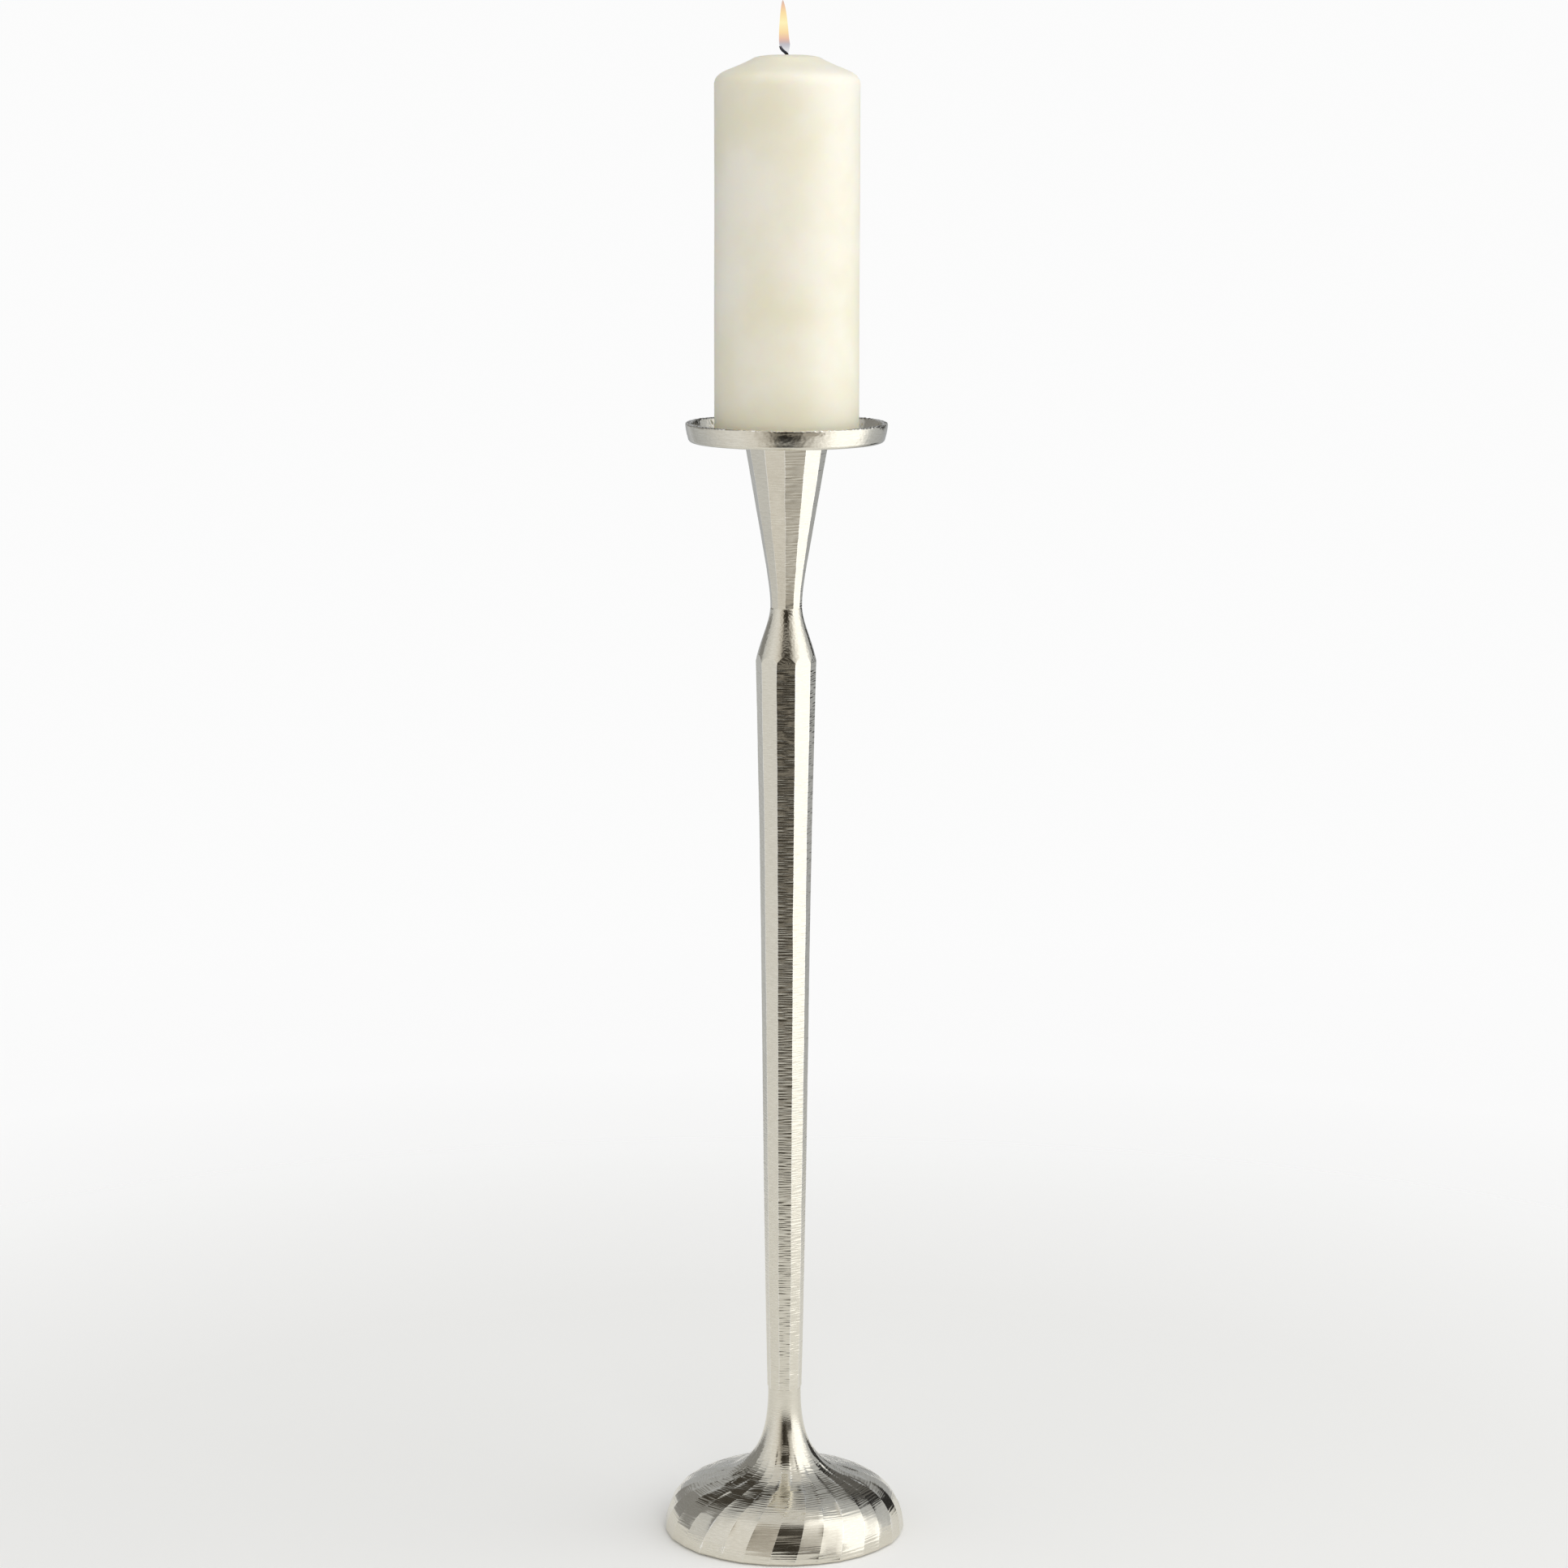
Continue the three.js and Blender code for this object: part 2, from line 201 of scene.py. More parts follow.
# %% The cards in front of it
CARDS = {  # centre, half width, lower edge, upper edge, softness, in degrees; radiance, warmth
    "left shade": (-134.0, 24.0, 1.0, 60.0, 3.0, 0.28, 0.0),
    "dim sky behind on the left": (-162.0, 27.0, 34.0, 57.0, 4.0, 0.05, 0.12),
    "dim sky behind on the right": (165.0, 22.0, 20.0, 42.0, 6.0, 0.12, 0.02),
    "black flag": (143.0, 9.0, -7.0, 40.0, 2.0, 0.03, 0.0),
    "low black flag": (140.0, 9.0, -50.0, -19.5, 1.5, 0.02, 0.0),
    "dark ground in front": (0.0, 9.0, -50.0, -18.0, 2.0, 0.012, 0.12),
    "grey ground on the right": (30.0, 12.0, -18.5, -7.0, 1.5, 0.42, 0.07),
    "low strip": (0.0, 16.0, -14.5, -9.5, 2.0, 0.30, 0.08),
    "dark slit": (30.0, 12.0, -5.0, 7.0, 2.0, 0.09, 0.08),
    "high strip": (0.0, 14.0, 28.0, 35.0, 2.0, 0.38, 0.05),
}


def hang_card(tree, light, degrees, height, card):
    """Turns light to the card's grey inside the card. Inside is the product of three smooth
    steps, each twice soft wide: round from the centre, up past lower and down past upper."""
    centre, half_width, lower, upper, soft, level, warmth = card
    off = add(tree, "Math", (degrees, centre), operation="SUBTRACT")
    off = add(tree, "Math", (off, 180.0, -180.0), operation="WRAP")
    away = add(tree, "Math", (off,), operation="ABSOLUTE")
    across = add(tree, "MapRange", (away, half_width + soft, half_width - soft), **SMOOTH)
    above = add(tree, "MapRange", (height, lower - soft, lower + soft), **SMOOTH)
    below = add(tree, "MapRange", (height, upper + soft, upper - soft), **SMOOTH)
    between = add(tree, "Math", (above, below), operation="MULTIPLY")
    inside = add(tree, "Math", (across, between), operation="MULTIPLY")
    return add(tree, "Mix", {0: inside, 6: light, 7: grey(level, warmth)}, **COLOURS)


print("cards:", ", ".join(CARDS))

# %% Sky: ring, cards, ceiling
CEILING = (60.0, 72.0)  # degrees of height over which the ceiling begins
BACKDROP = 0.97  # what the camera sees behind the object


def build_sky():
    """Ring, then cards, then ceiling, all hidden from the camera by an even backdrop.
    azimuth = atan2(x, -y) and height = arcsin(z), in degrees = radians x 180 / pi."""
    world = bpy.data.worlds.new("studio sky")
    world.use_nodes = True
    bpy.context.scene.world = world
    tree = world.node_tree
    tree.nodes.clear()
    direction = add(tree, "TexCoord").outputs["Generated"]
    axes = add(tree, "SeparateXYZ", (direction,)).outputs
    front = add(tree, "Math", (axes["Y"], -1.0), operation="MULTIPLY")
    azimuth = add(tree, "Math", (axes["X"], front), operation="ARCTAN2")
    height = add(tree, "Math", (axes["Z"],), operation="ARCSINE")
    height = add(tree, "Math", (height, 180 / math.pi), operation="MULTIPLY")
    degrees = add(tree, "Math", (azimuth, 180 / math.pi), operation="MULTIPLY")
    light = ring_of_light(tree, azimuth)
    for card in CARDS.values():
        light = hang_card(tree, light, degrees, height, card)
    overhead = add(tree, "MapRange", (height, *CEILING), **SMOOTH)
    light = add(tree, "Mix", {0: overhead, 6: light, 7: grey(0.70, 0.01)}, **COLOURS)
    seen = add(tree, "LightPath").outputs["Is Camera Ray"]
    light = add(tree, "Mix", {0: seen, 6: light, 7: grey(BACKDROP)}, **COLOURS)
    background = add(tree, "Background", {"Color": light})
    add(tree, "OutputWorld", {"Surface": background})
    return tree


sky = build_sky()
print("sky nodes:", len(sky.nodes))

# %% Two soft lamps and the colour handling
# The lamps light the table and the wax, and stay out of the metal's reflections.
bpy.context.scene.view_settings.view_transform = "Standard"


def soft_lamp(name, size, watts, place, aim):
    """A round area lamp, size across in metres, from place to aim, unseen in mirrors."""
    data = bpy.data.lights.new(name, "AREA")
    data.shape = "DISK"
    data.size = size
    data.energy = watts
    lamp = bpy.data.objects.new(name, data)
    lamp.location = place
    lamp.rotation_euler = (Vector(aim) - Vector(place)).to_track_quat("-Z", "Y").to_euler()
    lamp.visible_glossy = False
    bpy.context.scene.collection.objects.link(lamp)
    return lamp


soft_lamp("overhead softbox", size=1.8, watts=9.0, place=(0.4, 0.2, 2.4), aim=(0.0, 0.1, 0.0))
soft_lamp("front fill", size=1.2, watts=16.0, place=(0.35, -2.2, 0.8), aim=(0.0, 0.0, 0.7))

# %% [markdown]
# ## Grids: every skin is a function of two numbers
# All the new pieces are skins over a grid: one number runs along the outline and the other goes
# round. numpy works out all the points at once. A piece with a bore closes on itself like a
# doughnut, and a piece without one closes at a point at each end. The sign of the enclosed volume
# says which way the faces look, so the skin can be turned right side out.

# %% Skins from grids
FULL_CORNER = 12.0  # degrees of turn at a point that count as a sharp corner


def signed_volume(points, faces):
    """Sum of a . (b x c) / 6 over the triangles; positive when faces look outwards."""
    a, b, c = (points[faces[:, k]] for k in range(3))
    total = np.einsum("ij,ij->i", a, np.cross(b, c)).sum()
    if faces.shape[1] == 4:
        a, b, c = (points[faces[:, k]] for k in (0, 2, 3))
        total += np.einsum("ij,ij->i", a, np.cross(b, c)).sum()
    return total / 6


def skin(name, grid, doughnut, corners=None, rims=(), body="stick"):
    """A closed mesh over a grid of points (rows, columns, 3) in millimetres.

    Face (i, j) joins points (i, j), (i, j+1), (i+1, j+1) and (i+1, j), and j wraps round. Rows
    wrap too on a doughnut; otherwise the first and last rows are fans round their own centres.
    corners is (columns, last row) and rims is rows: edges along these stay sharp.
    """
    rows, columns = grid.shape[:2]
    i = np.arange(rows if doughnut else rows - 1)[:, None]
    j = np.arange(columns)[None, :]
    up, right = (i + 1) % rows, (j + 1) % columns
    quads = np.stack(
        [i * columns + j, i * columns + right, up * columns + right, up * columns + j], -1
    ).reshape(-1, 4)
    points = grid.reshape(-1, 3)
    fans = np.empty((0, 3), int)
    if not doughnut:
        first, last = len(points), len(points) + 1
        points = np.vstack([points, grid[0].mean(0), grid[-1].mean(0)])
        ring, after = np.arange(columns), (np.arange(columns) + 1) % columns
        top = (rows - 1) * columns
        fans = np.vstack(
            [
                np.c_[after, ring, np.full(columns, first)],
                np.c_[top + ring, top + after, np.full(columns, last)],
            ]
        )
    volume = signed_volume(points, quads) + (signed_volume(points, fans) if len(fans) else 0)
    if volume < 0:
        quads, fans = quads[:, ::-1], fans[:, ::-1]
    mesh = bpy.data.meshes.new(name)
    mesh.from_pydata((points * MM).tolist(), [], quads.tolist() + fans.tolist())
    mesh.polygons.foreach_set("use_smooth", np.ones(len(mesh.polygons), bool))
    crease(mesh, columns, corners, rims)
    mark_corners(mesh, grid)
    mesh.update()
    piece = bpy.data.objects.new(name, mesh)
    bpy.context.scene.collection.objects.link(piece)
    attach(piece, body)
    print(f"{name}: {len(mesh.vertices)} points, {abs(volume) / 1000:.1f} cm3")
    return piece


def crease(mesh, columns, corners, rims):
    """Marks as sharp the edges which run along the corner columns, up to their last row, and
    those which run round the rim rows."""
    ends = np.empty(len(mesh.edges) * 2, int)
    mesh.edges.foreach_get("vertices", ends)
    row, column = np.divmod(ends.reshape(-1, 2), columns)
    sharp = (row[:, 0] == row[:, 1]) & np.isin(row[:, 0], rims)
    if corners:
        corner_columns, last = corners
        along = (column[:, 0] == column[:, 1]) & np.isin(column[:, 0], corner_columns)
        sharp |= along & (row.max(1) <= last)
    mesh.attributes.new("sharp_edge", "BOOLEAN", "EDGE").data.foreach_set("value", sharp)


def mark_corners(mesh, grid):
    """Stores how sharply a ring turns at each point, for finishes that paint corners whiter, partly
    as wear and partly as a painted highlight.

    With a and b the steps to and from a point, |a x b| / (|a| |b|) is the sine of the turn. It is
    stored over the sine of FULL_CORNER, and is 1 at most.
    """
    step = grid - np.roll(grid, 1, axis=1)
    after = np.roll(step, -1, axis=1)
    length = np.linalg.norm(step, axis=2) * np.linalg.norm(after, axis=2)
    sine = np.linalg.norm(np.cross(step, after), axis=2) / np.maximum(length, 1e-9)
    turn = np.zeros(len(mesh.vertices))
    turn[: sine.size] = np.clip(sine / math.sin(math.radians(FULL_CORNER)), 0, 1).ravel()
    mesh.attributes.new("corner", "FLOAT", "POINT").data.foreach_set("value", turn)


print("a corner turns", FULL_CORNER, "degrees or more")


# %% Outlines: curves, even steps and turning
def curve(start, pull_a, pull_b, end, steps=80):
    """(1-t)^3 start + 3 (1-t)^2 t pull_a + 3 (1-t) t^2 pull_b + t^3 end, t from 0 to 1."""
    t = np.linspace(0, 1, steps)[:, None]
    start, pull_a, pull_b, end = (np.array(p, float) for p in (start, pull_a, pull_b, end))
    inner = 3 * (1 - t) ** 2 * t * pull_a + 3 * (1 - t) * t**2 * pull_b
    return (1 - t) ** 3 * start + inner + t**3 * end


def outline(*stretches):
    """Joins points and curves of (radius, height) end to end, leaving out doubles."""
    line = np.vstack([np.atleast_2d(np.array(s, float)) for s in stretches])
    keep = np.r_[True, np.hypot(*np.diff(line, axis=0).T) > 1e-6]
    return line[keep]


def run_along(line):
    """Distance along a line to each of its points: the sum of the steps before it."""
    return np.r_[0, np.cumsum(np.hypot(*np.diff(line, axis=0).T))]


def stepped(line, step):
    """The same line with points at even steps along its run."""
    run = run_along(line)
    at = np.linspace(0, run[-1], max(2, round(run[-1] / step) + 1))
    return np.c_[np.interp(at, run, line[:, 0]), np.interp(at, run, line[:, 1])]


def facing(line):
    """Unit normals of a line of (radius, height), to the right of its direction of travel."""
    along = np.gradient(line, axis=0)
    along /= np.hypot(*along.T)[:, None]
    return np.c_[along[:, 1], -along[:, 0]]


def polar(r, a, z):
    """Points x = r cos a, y = r sin a, z."""
    return np.stack([r * np.cos(a), r * np.sin(a), z + 0 * a], -1)


def turned(line, columns):
    """A line of (radius, height) turned about the stick's axis, in even steps of angle."""
    return polar(line[:, :1], np.linspace(0, 2 * math.pi, columns, endpoint=False), line[:, 1:])


def extent(node):
    """Lowest height, highest height and largest radius of a CAD node, in millimetres."""
    low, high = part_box(node)
    return low.z / MM, high.z / MM, max(high.x - low.x, high.y - low.y) / 2 / MM


foot_bottom, foot_top, foot_radius = extent("base_dome")
print("foot:", round(foot_bottom, 2), round(foot_top, 2), round(foot_radius, 2))

# %% [markdown]
# ## Filed flats
# The founder casts the stem roughly round, then a filer cuts flats along it with short strokes
# across the bar. Each stroke leaves a shallow hollow a millimetre or two wide, and each flat
# wanders a little, so the sharp corners between flats run slightly crooked. A boolean cut per
# stroke would be slow and heavy. Instead each ring of the grid is worked out as a polygon: every
# flat is a straight line at its own distance from the axis, and two lines meet in a corner.

# %% Stroke marks and wandering flats
def wander(run, count, longest, shortest):
    """count separate slow waves along a run: each is a mean of six sines with random phases,
    whose wavelengths lie evenly between longest and shortest, times 1.6, so that most values
    lie within -1 to 1."""
    wavelengths = np.linspace(longest, shortest, 6)
    phases = rng.uniform(0, 2 * math.pi, (count, 6))
    waves = np.sin(2 * math.pi * run[:, None, None] / wavelengths + phases)
    return waves.mean(2) * 1.6


def strokes(run, sides, across, pitch, depth, slant, lean):
    """How far below its flat each point lies, in mm, shape (rows, sides, columns).

    phase = (run + slant x tilt x across) / pitch + drift. With n its whole part and f the rest,
    the cut is depth x strength[n] x 4 f (1 - f): a row of hollows with crisp ridges between.
    A file rocks a little, so each hollow also leans sideways by lean x rock[n] x sway, where
    sway = across (1 - 4 across^2) is 0 at both corners and lean is in mm, row by row or one value.
    """
    drift = wander(run, sides, 60.0, 9.0) * 1.4
    tilt = wander(run, sides, 45.0, 7.0)
    start = rng.uniform(0, 50, (1, sides))
    phase = (run[:, None] / pitch + drift + start)[:, :, None]
    phase = phase + (slant / pitch) * tilt[:, :, None] * across
    index = np.floor(phase)
    part = phase - index
    index = (index - index.min()).astype(int)
    strength = rng.uniform(0.45, 1.0, (sides, index.max() + 1))
    rock = rng.uniform(-1.0, 1.0, (sides, index.max() + 1))
    side = np.arange(sides)[None, :, None]
    hollow = 4 * part * (1 - part)
    sway = across * (1 - 4 * across**2)
    lean = np.reshape(lean, (-1, 1, 1))
    return -depth * strength[side, index] * hollow + lean * rock[side, index] * hollow * sway


def flats(angles, reach, cut, across):
    """Points round each ring of a many-sided bar, shape (rows, sides x columns, 2).

    Flat k is the line x cos a + y sin a = d. It meets the next one, of angle b and distance e, at
    x = (d sin b - e sin a) / sin(b - a) and y = (e cos a - d cos b) / sin(b - a).
    """
    left, right = reach + cut[:, :, 0], reach + cut[:, :, -1]
    angle_b, reach_b = np.roll(angles, -1, axis=1), np.roll(left, -1, axis=1)
    turn = np.sin(angle_b - angles)
    x = (right * np.sin(angle_b) - reach_b * np.sin(angles)) / turn
    y = (reach_b * np.cos(angles) - right * np.cos(angle_b)) / turn
    end = np.stack([x, y], -1)
    start = np.roll(end, 1, axis=1)
    u = (across[:-1] + 0.5)[None, None, :]
    points = start[:, :, None] * (1 - u[..., None]) + end[:, :, None] * u[..., None]
    hollow = cut[:, :, :-1] - cut[:, :, :1] * (1 - u) - cut[:, :, -1:] * u
    normal = np.stack([np.cos(angles), np.sin(angles)], -1)[:, :, None]
    return (points + hollow[..., None] * normal).reshape(len(reach), -1, 2)


print("a corner of a ten-sided bar stands", round(1 / math.cos(math.pi / 10), 3), "flat radii out")

# %% Bars with filed flats
SEAM = 0.3  # the CAD pieces stand this far apart; a skin fills the seam above it
ROD_BORE = 4.4
FILED = 0.05  # mm that the file took off a flat, more or less
ACROSS = np.array([-0.5, -0.25, 0.0, 0.25, 0.5])  # the columns of a flat, corner to corner


def with_bore(rings, heights, bore):
    """Adds a ring of the bore above the top ring and below the bottom one."""
    def bore_ring(ring, height):
        """The ring's points moved in to the bore, at the same angles a."""
        a = np.arctan2(ring[:, 1], ring[:, 0])
        return np.c_[bore * np.cos(a), bore * np.sin(a), np.full(len(a), height)]

    level = np.broadcast_to(heights[:, None, None], (*rings.shape[:2], 1))
    top, bottom = bore_ring(rings[-1], heights[-1]), bore_ring(rings[0], heights[0])
    return np.concatenate([np.concatenate([rings, level], 2), top[None], bottom[None]])


def run_out(rings, limit):
    """Pulls points in to radius limit, one limit per ring: flats then end in arches."""
    radius = np.linalg.norm(rings, axis=2, keepdims=True)
    return rings * np.minimum(1, limit[:, None, None] / radius)


def filed_bar(name, line, count, middle, turn, shift, stroke, still, waist):
    """A bar with one flat facing each angle in middle, in count rings along line, its corner's
    (radius, height).

    A flat turns by turn[0] degrees x wander and moves by FILED x wander; the rest of turn, and
    shift, are the longest and shortest wave. Strokes lean by stroke["lean"] x the flat's width.
    All this fades within still mm of the ends. Below, the limit is waist + half the height.
    """
    sides, half = len(middle), math.pi / len(middle)
    heights = np.linspace(line[0, 1], line[-1, 1], count)
    corner = np.interp(heights, line[:, 1], line[:, 0])
    ends = np.minimum(heights[-1] - heights, heights - heights[0])
    calm = (np.clip(ends / still, 0, 1) if still else np.ones(count))[:, None]
    angles = middle + np.radians(turn[0]) * wander(heights, sides, *turn[1:]) * calm
    reach = (corner * math.cos(half))[:, None]
    reach = reach - FILED + FILED * wander(heights, sides, *shift) * calm
    lean = stroke["lean"] * 2 * corner * math.sin(half)
    cut = strokes(heights, sides, ACROSS, **{**stroke, "lean": lean})
    rings = flats(angles, reach, cut * calm[:, :, None], ACROSS)
    rings = run_out(rings, waist + 0.5 * (heights - heights[0]))
    corners = np.arange(sides) * (len(ACROSS) - 1)
    last = count - 1
    grid = with_bore(rings, heights, ROD_BORE)
    return skin(name, grid, True, (corners, last), (0, last, last + 1, last + 2))


print("a flat has", len(ACROSS) - 1, "columns")

# %% [markdown]
# ## Lower stem
# Ten flats, one of them facing the front, swell gently from the neck to the shoulder, with a file
# stroke every 1.3 mm. The rod's bore runs through the middle, so the skin closes on itself
# through the bore.

# %% Stem
STEM_SIDES = 10
stem_bottom, stem_top, shoulder_radius = extent("lower_stem")
STEM_FOOT_RADIUS = 9.35
NECK_RADIUS = 8.9
NECK_TOP_RADIUS = 8.84  # flush with the stem's flats


def stem_line():
    """Corner radius against height: a slow swell, then straight to the shoulder."""
    start = (STEM_FOOT_RADIUS, stem_bottom)
    swell = curve(start, (12.0, 200.0), (12.2, 275.0), (14.1, 390.0))
    return outline(swell, (15.9, 470.0), (shoulder_radius, stem_top + SEAM))


stem = filed_bar(
    "stem_filed",
    stem_line(),
    count=2150,
    middle=np.arange(STEM_SIDES) * 2 * math.pi / STEM_SIDES - math.pi / 2,
    turn=(0.7, 260.0, 60.0),
    shift=(120.0, 14.0),
    stroke={"pitch": 1.3, "depth": 0.075, "slant": 0.9, "lean": 0.06},
    still=4.0,
    waist=NECK_TOP_RADIUS,
)
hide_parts("lower_stem")

# %% [markdown]
# ## Neck collar
# Above the shoulder the stick is turned round again and runs in to a narrow waist in an ogee. The
# ten flats run out into it: a flat plane meets a narrowing round body in an arch, so the smaller
# of the two radii is taken at every point, and the arches appear by themselves.

# %% Collar
collar_bottom, collar_top, collar_radius = extent("neck_collar")
WAIST_RADIUS = 8.5
WAIST_INSET = 0.22  # the waist is eased in where cone and collar meet
COLLAR_COLUMNS = 240


def ogee():
    """Radius against height, from the shoulder in to the waist."""
    start, end = (collar_radius, collar_bottom), (WAIST_RADIUS, collar_top + SEAM)
    return curve(start, (13.9, collar_bottom + 11.3), (WAIST_RADIUS, collar_bottom + 21.3), end)


def flat_radius(angle, sides, first, reach):
    """Radius of a polygon along an angle: reach / cos(angle to the nearest flat's middle)."""
    step = 2 * math.pi / sides
    off = (angle - first + step / 2) % step - step / 2
    return reach / np.cos(off)


def dents(angle, height, count, radius, size, depth):
    """Depth of round dents scattered over a wall. w lies between 0.5 and 1, and within w x size
    of a dent's centre it is depth x (1 - d^2 / (w x size)^2); the deepest dent counts."""
    hollow = np.zeros(np.broadcast(angle, height).shape)
    places = rng.uniform((0, height.min(), 0.5), (2 * math.pi, height.max(), 1.0), (count, 3))
    for a, h, w in places:
        near = np.where(np.abs(height - h).min(axis=1) < size)[0]
        rows = slice(near[0], near[-1] + 1)
        off = (angle[rows] - a + math.pi) % (2 * math.pi) - math.pi
        d2 = (off * radius) ** 2 + (height[rows] - h) ** 2
        dent = depth * np.clip(1 - d2 / (w * size) ** 2, 0, 1)
        hollow[rows] = np.maximum(hollow[rows], dent)
    return hollow


def build_collar():
    """The smaller of the ogee and the flats, with fine dents left by the mould's sand."""
    line = stepped(ogee(), 0.16)
    angle = np.linspace(0, 2 * math.pi, COLLAR_COLUMNS, endpoint=False) + 0 * line[:, :1]
    height = line[:, 1:] + 0 * angle
    flat = shoulder_radius * math.cos(math.pi / STEM_SIDES) - FILED
    radius = np.minimum(line[:, :1], flat_radius(angle, STEM_SIDES, -math.pi / 2, flat))
    radius = radius - dents(angle, height, count=1500, radius=12.0, size=0.9, depth=0.045)
    radius = np.minimum(radius, WAIST_RADIUS - WAIST_INSET + 0.35 * (height[-1] - height))
    rings = np.stack([radius * np.cos(angle), radius * np.sin(angle)], -1)
    last = len(line) - 1
    grid = with_bore(rings, line[:, 1], ROD_BORE)
    return skin("collar_turned", grid, True, rims=(0, last, last + 1, last + 2))


collar = build_collar()
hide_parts("neck_collar")

# %% [markdown]
# ## Upper cone
# Twelve flats flare from the waist to the underside of the dish, with a corner to the front. The
# filer used a coarser stroke here, so the hollows are wider and deeper, and the corners zigzag.

# %% Cone
CONE_SIDES = 12
CONE_TWIST = 2.2  # degrees that the filer's flats turned from square
cone_bottom, cone_top, cone_radius = extent("upper_cone")


def cone_line():
    """Corner radius against height: out of the waist in a short curve, then straight."""
    start = (WAIST_RADIUS, cone_bottom)
    bend = curve(start, (WAIST_RADIUS - 0.2, 515.0), (9.6, 522.0), (10.9, 531.0))
    return outline(bend, (cone_radius, cone_top + SEAM))


cone_step = 2 * math.pi / CONE_SIDES
cone = filed_bar(
    "cone_filed",
    cone_line(),
    count=620,
    middle=(np.arange(CONE_SIDES) + 0.5) * cone_step - math.pi / 2 - math.radians(CONE_TWIST),
    turn=(1.0, 90.0, 30.0),
    shift=(60.0, 9.0),
    stroke={"pitch": 1.9, "depth": 0.07, "slant": 1.2, "lean": 0.04},
    still=0.0,
    waist=WAIST_RADIUS - WAIST_INSET,
)
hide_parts("upper_cone")

# %% [markdown]
# ## Foot
# The foot is one hollow casting: a low dome with thirty filed flats, which sweeps up into the
# round neck. The filer leaned on the file as the dome turned, so the flats swirl a little on the
# way up, and they fade out where the neck becomes round. Strokes sink along the surface's own
# normal, because on the flat top of the dome a stroke is cut downwards, not inwards.

# %% Foot
FOOT_SIDES = 30
FOOT_ACROSS = np.array([-0.5, -0.46, -0.2, 0.0, 0.2, 0.46, 0.5])
FOOT_WALL = 4.0
FOOT_EDGE = 1.2
BROW = (30.9, 33.1)  # radius and height where the flare turns into the dome
SWIRL = 17.0  # degrees that the flats turn
SWIRL_RUN = 62.0  # mm along the outline in which they do
FOOT_FIRST = 93.2  # degrees clockwise from the right at which the first flat faces
UNEVEN = 0.18  # of a flat's width by which it may sit off its even place
BOLD_STROKES = {"pitch": 1.8, "depth": 0.065, "slant": 0.8, "lean": 0.1}  # on the dome's side
FINE_STROKES = {"pitch": 1.5, "depth": 0.13, "slant": 0.8, "lean": 0.3}  # on its top and neck


def foot_outside():
    """Rim round, dome, flare, neck; travelled upwards."""
    edge = FOOT_EDGE
    pull_a, pull_b = (foot_radius - edge / 2, foot_bottom), (foot_radius, foot_bottom + edge / 2)
    end = (foot_radius, foot_bottom + edge)
    rim = curve((foot_radius - edge, foot_bottom), pull_a, pull_b, end, steps=8)
    dome = curve(rim[-1], (foot_radius - 2.4, 25.5), (BROW[0] + 17.8, 27.0), BROW)
    flare = curve(BROW, (13.7, 39.5), (NECK_RADIUS + 0.5, 55.5), (NECK_RADIUS, 76.0))
    return outline(rim, dome, flare, (NECK_TOP_RADIUS, foot_top + SEAM))


def foot_inside():
    """Down the bore and the boss, out along the ceiling and down to the rim."""
    inside = foot_radius - FOOT_WALL - 0.5
    ceiling = BROW[1] - FOOT_WALL
    vault = curve(
        (BROW[0] - 2, ceiling), (BROW[0] + 17, 24.0), (inside - 2, 20.0), (inside, foot_bottom + 2)
    )
    boss = [(ROD_BORE, foot_top + SEAM), (ROD_BORE, 22.3), (11.0, 22.3), (12.0, ceiling + 1)]
    return outline(boss, vault, (inside, foot_bottom))


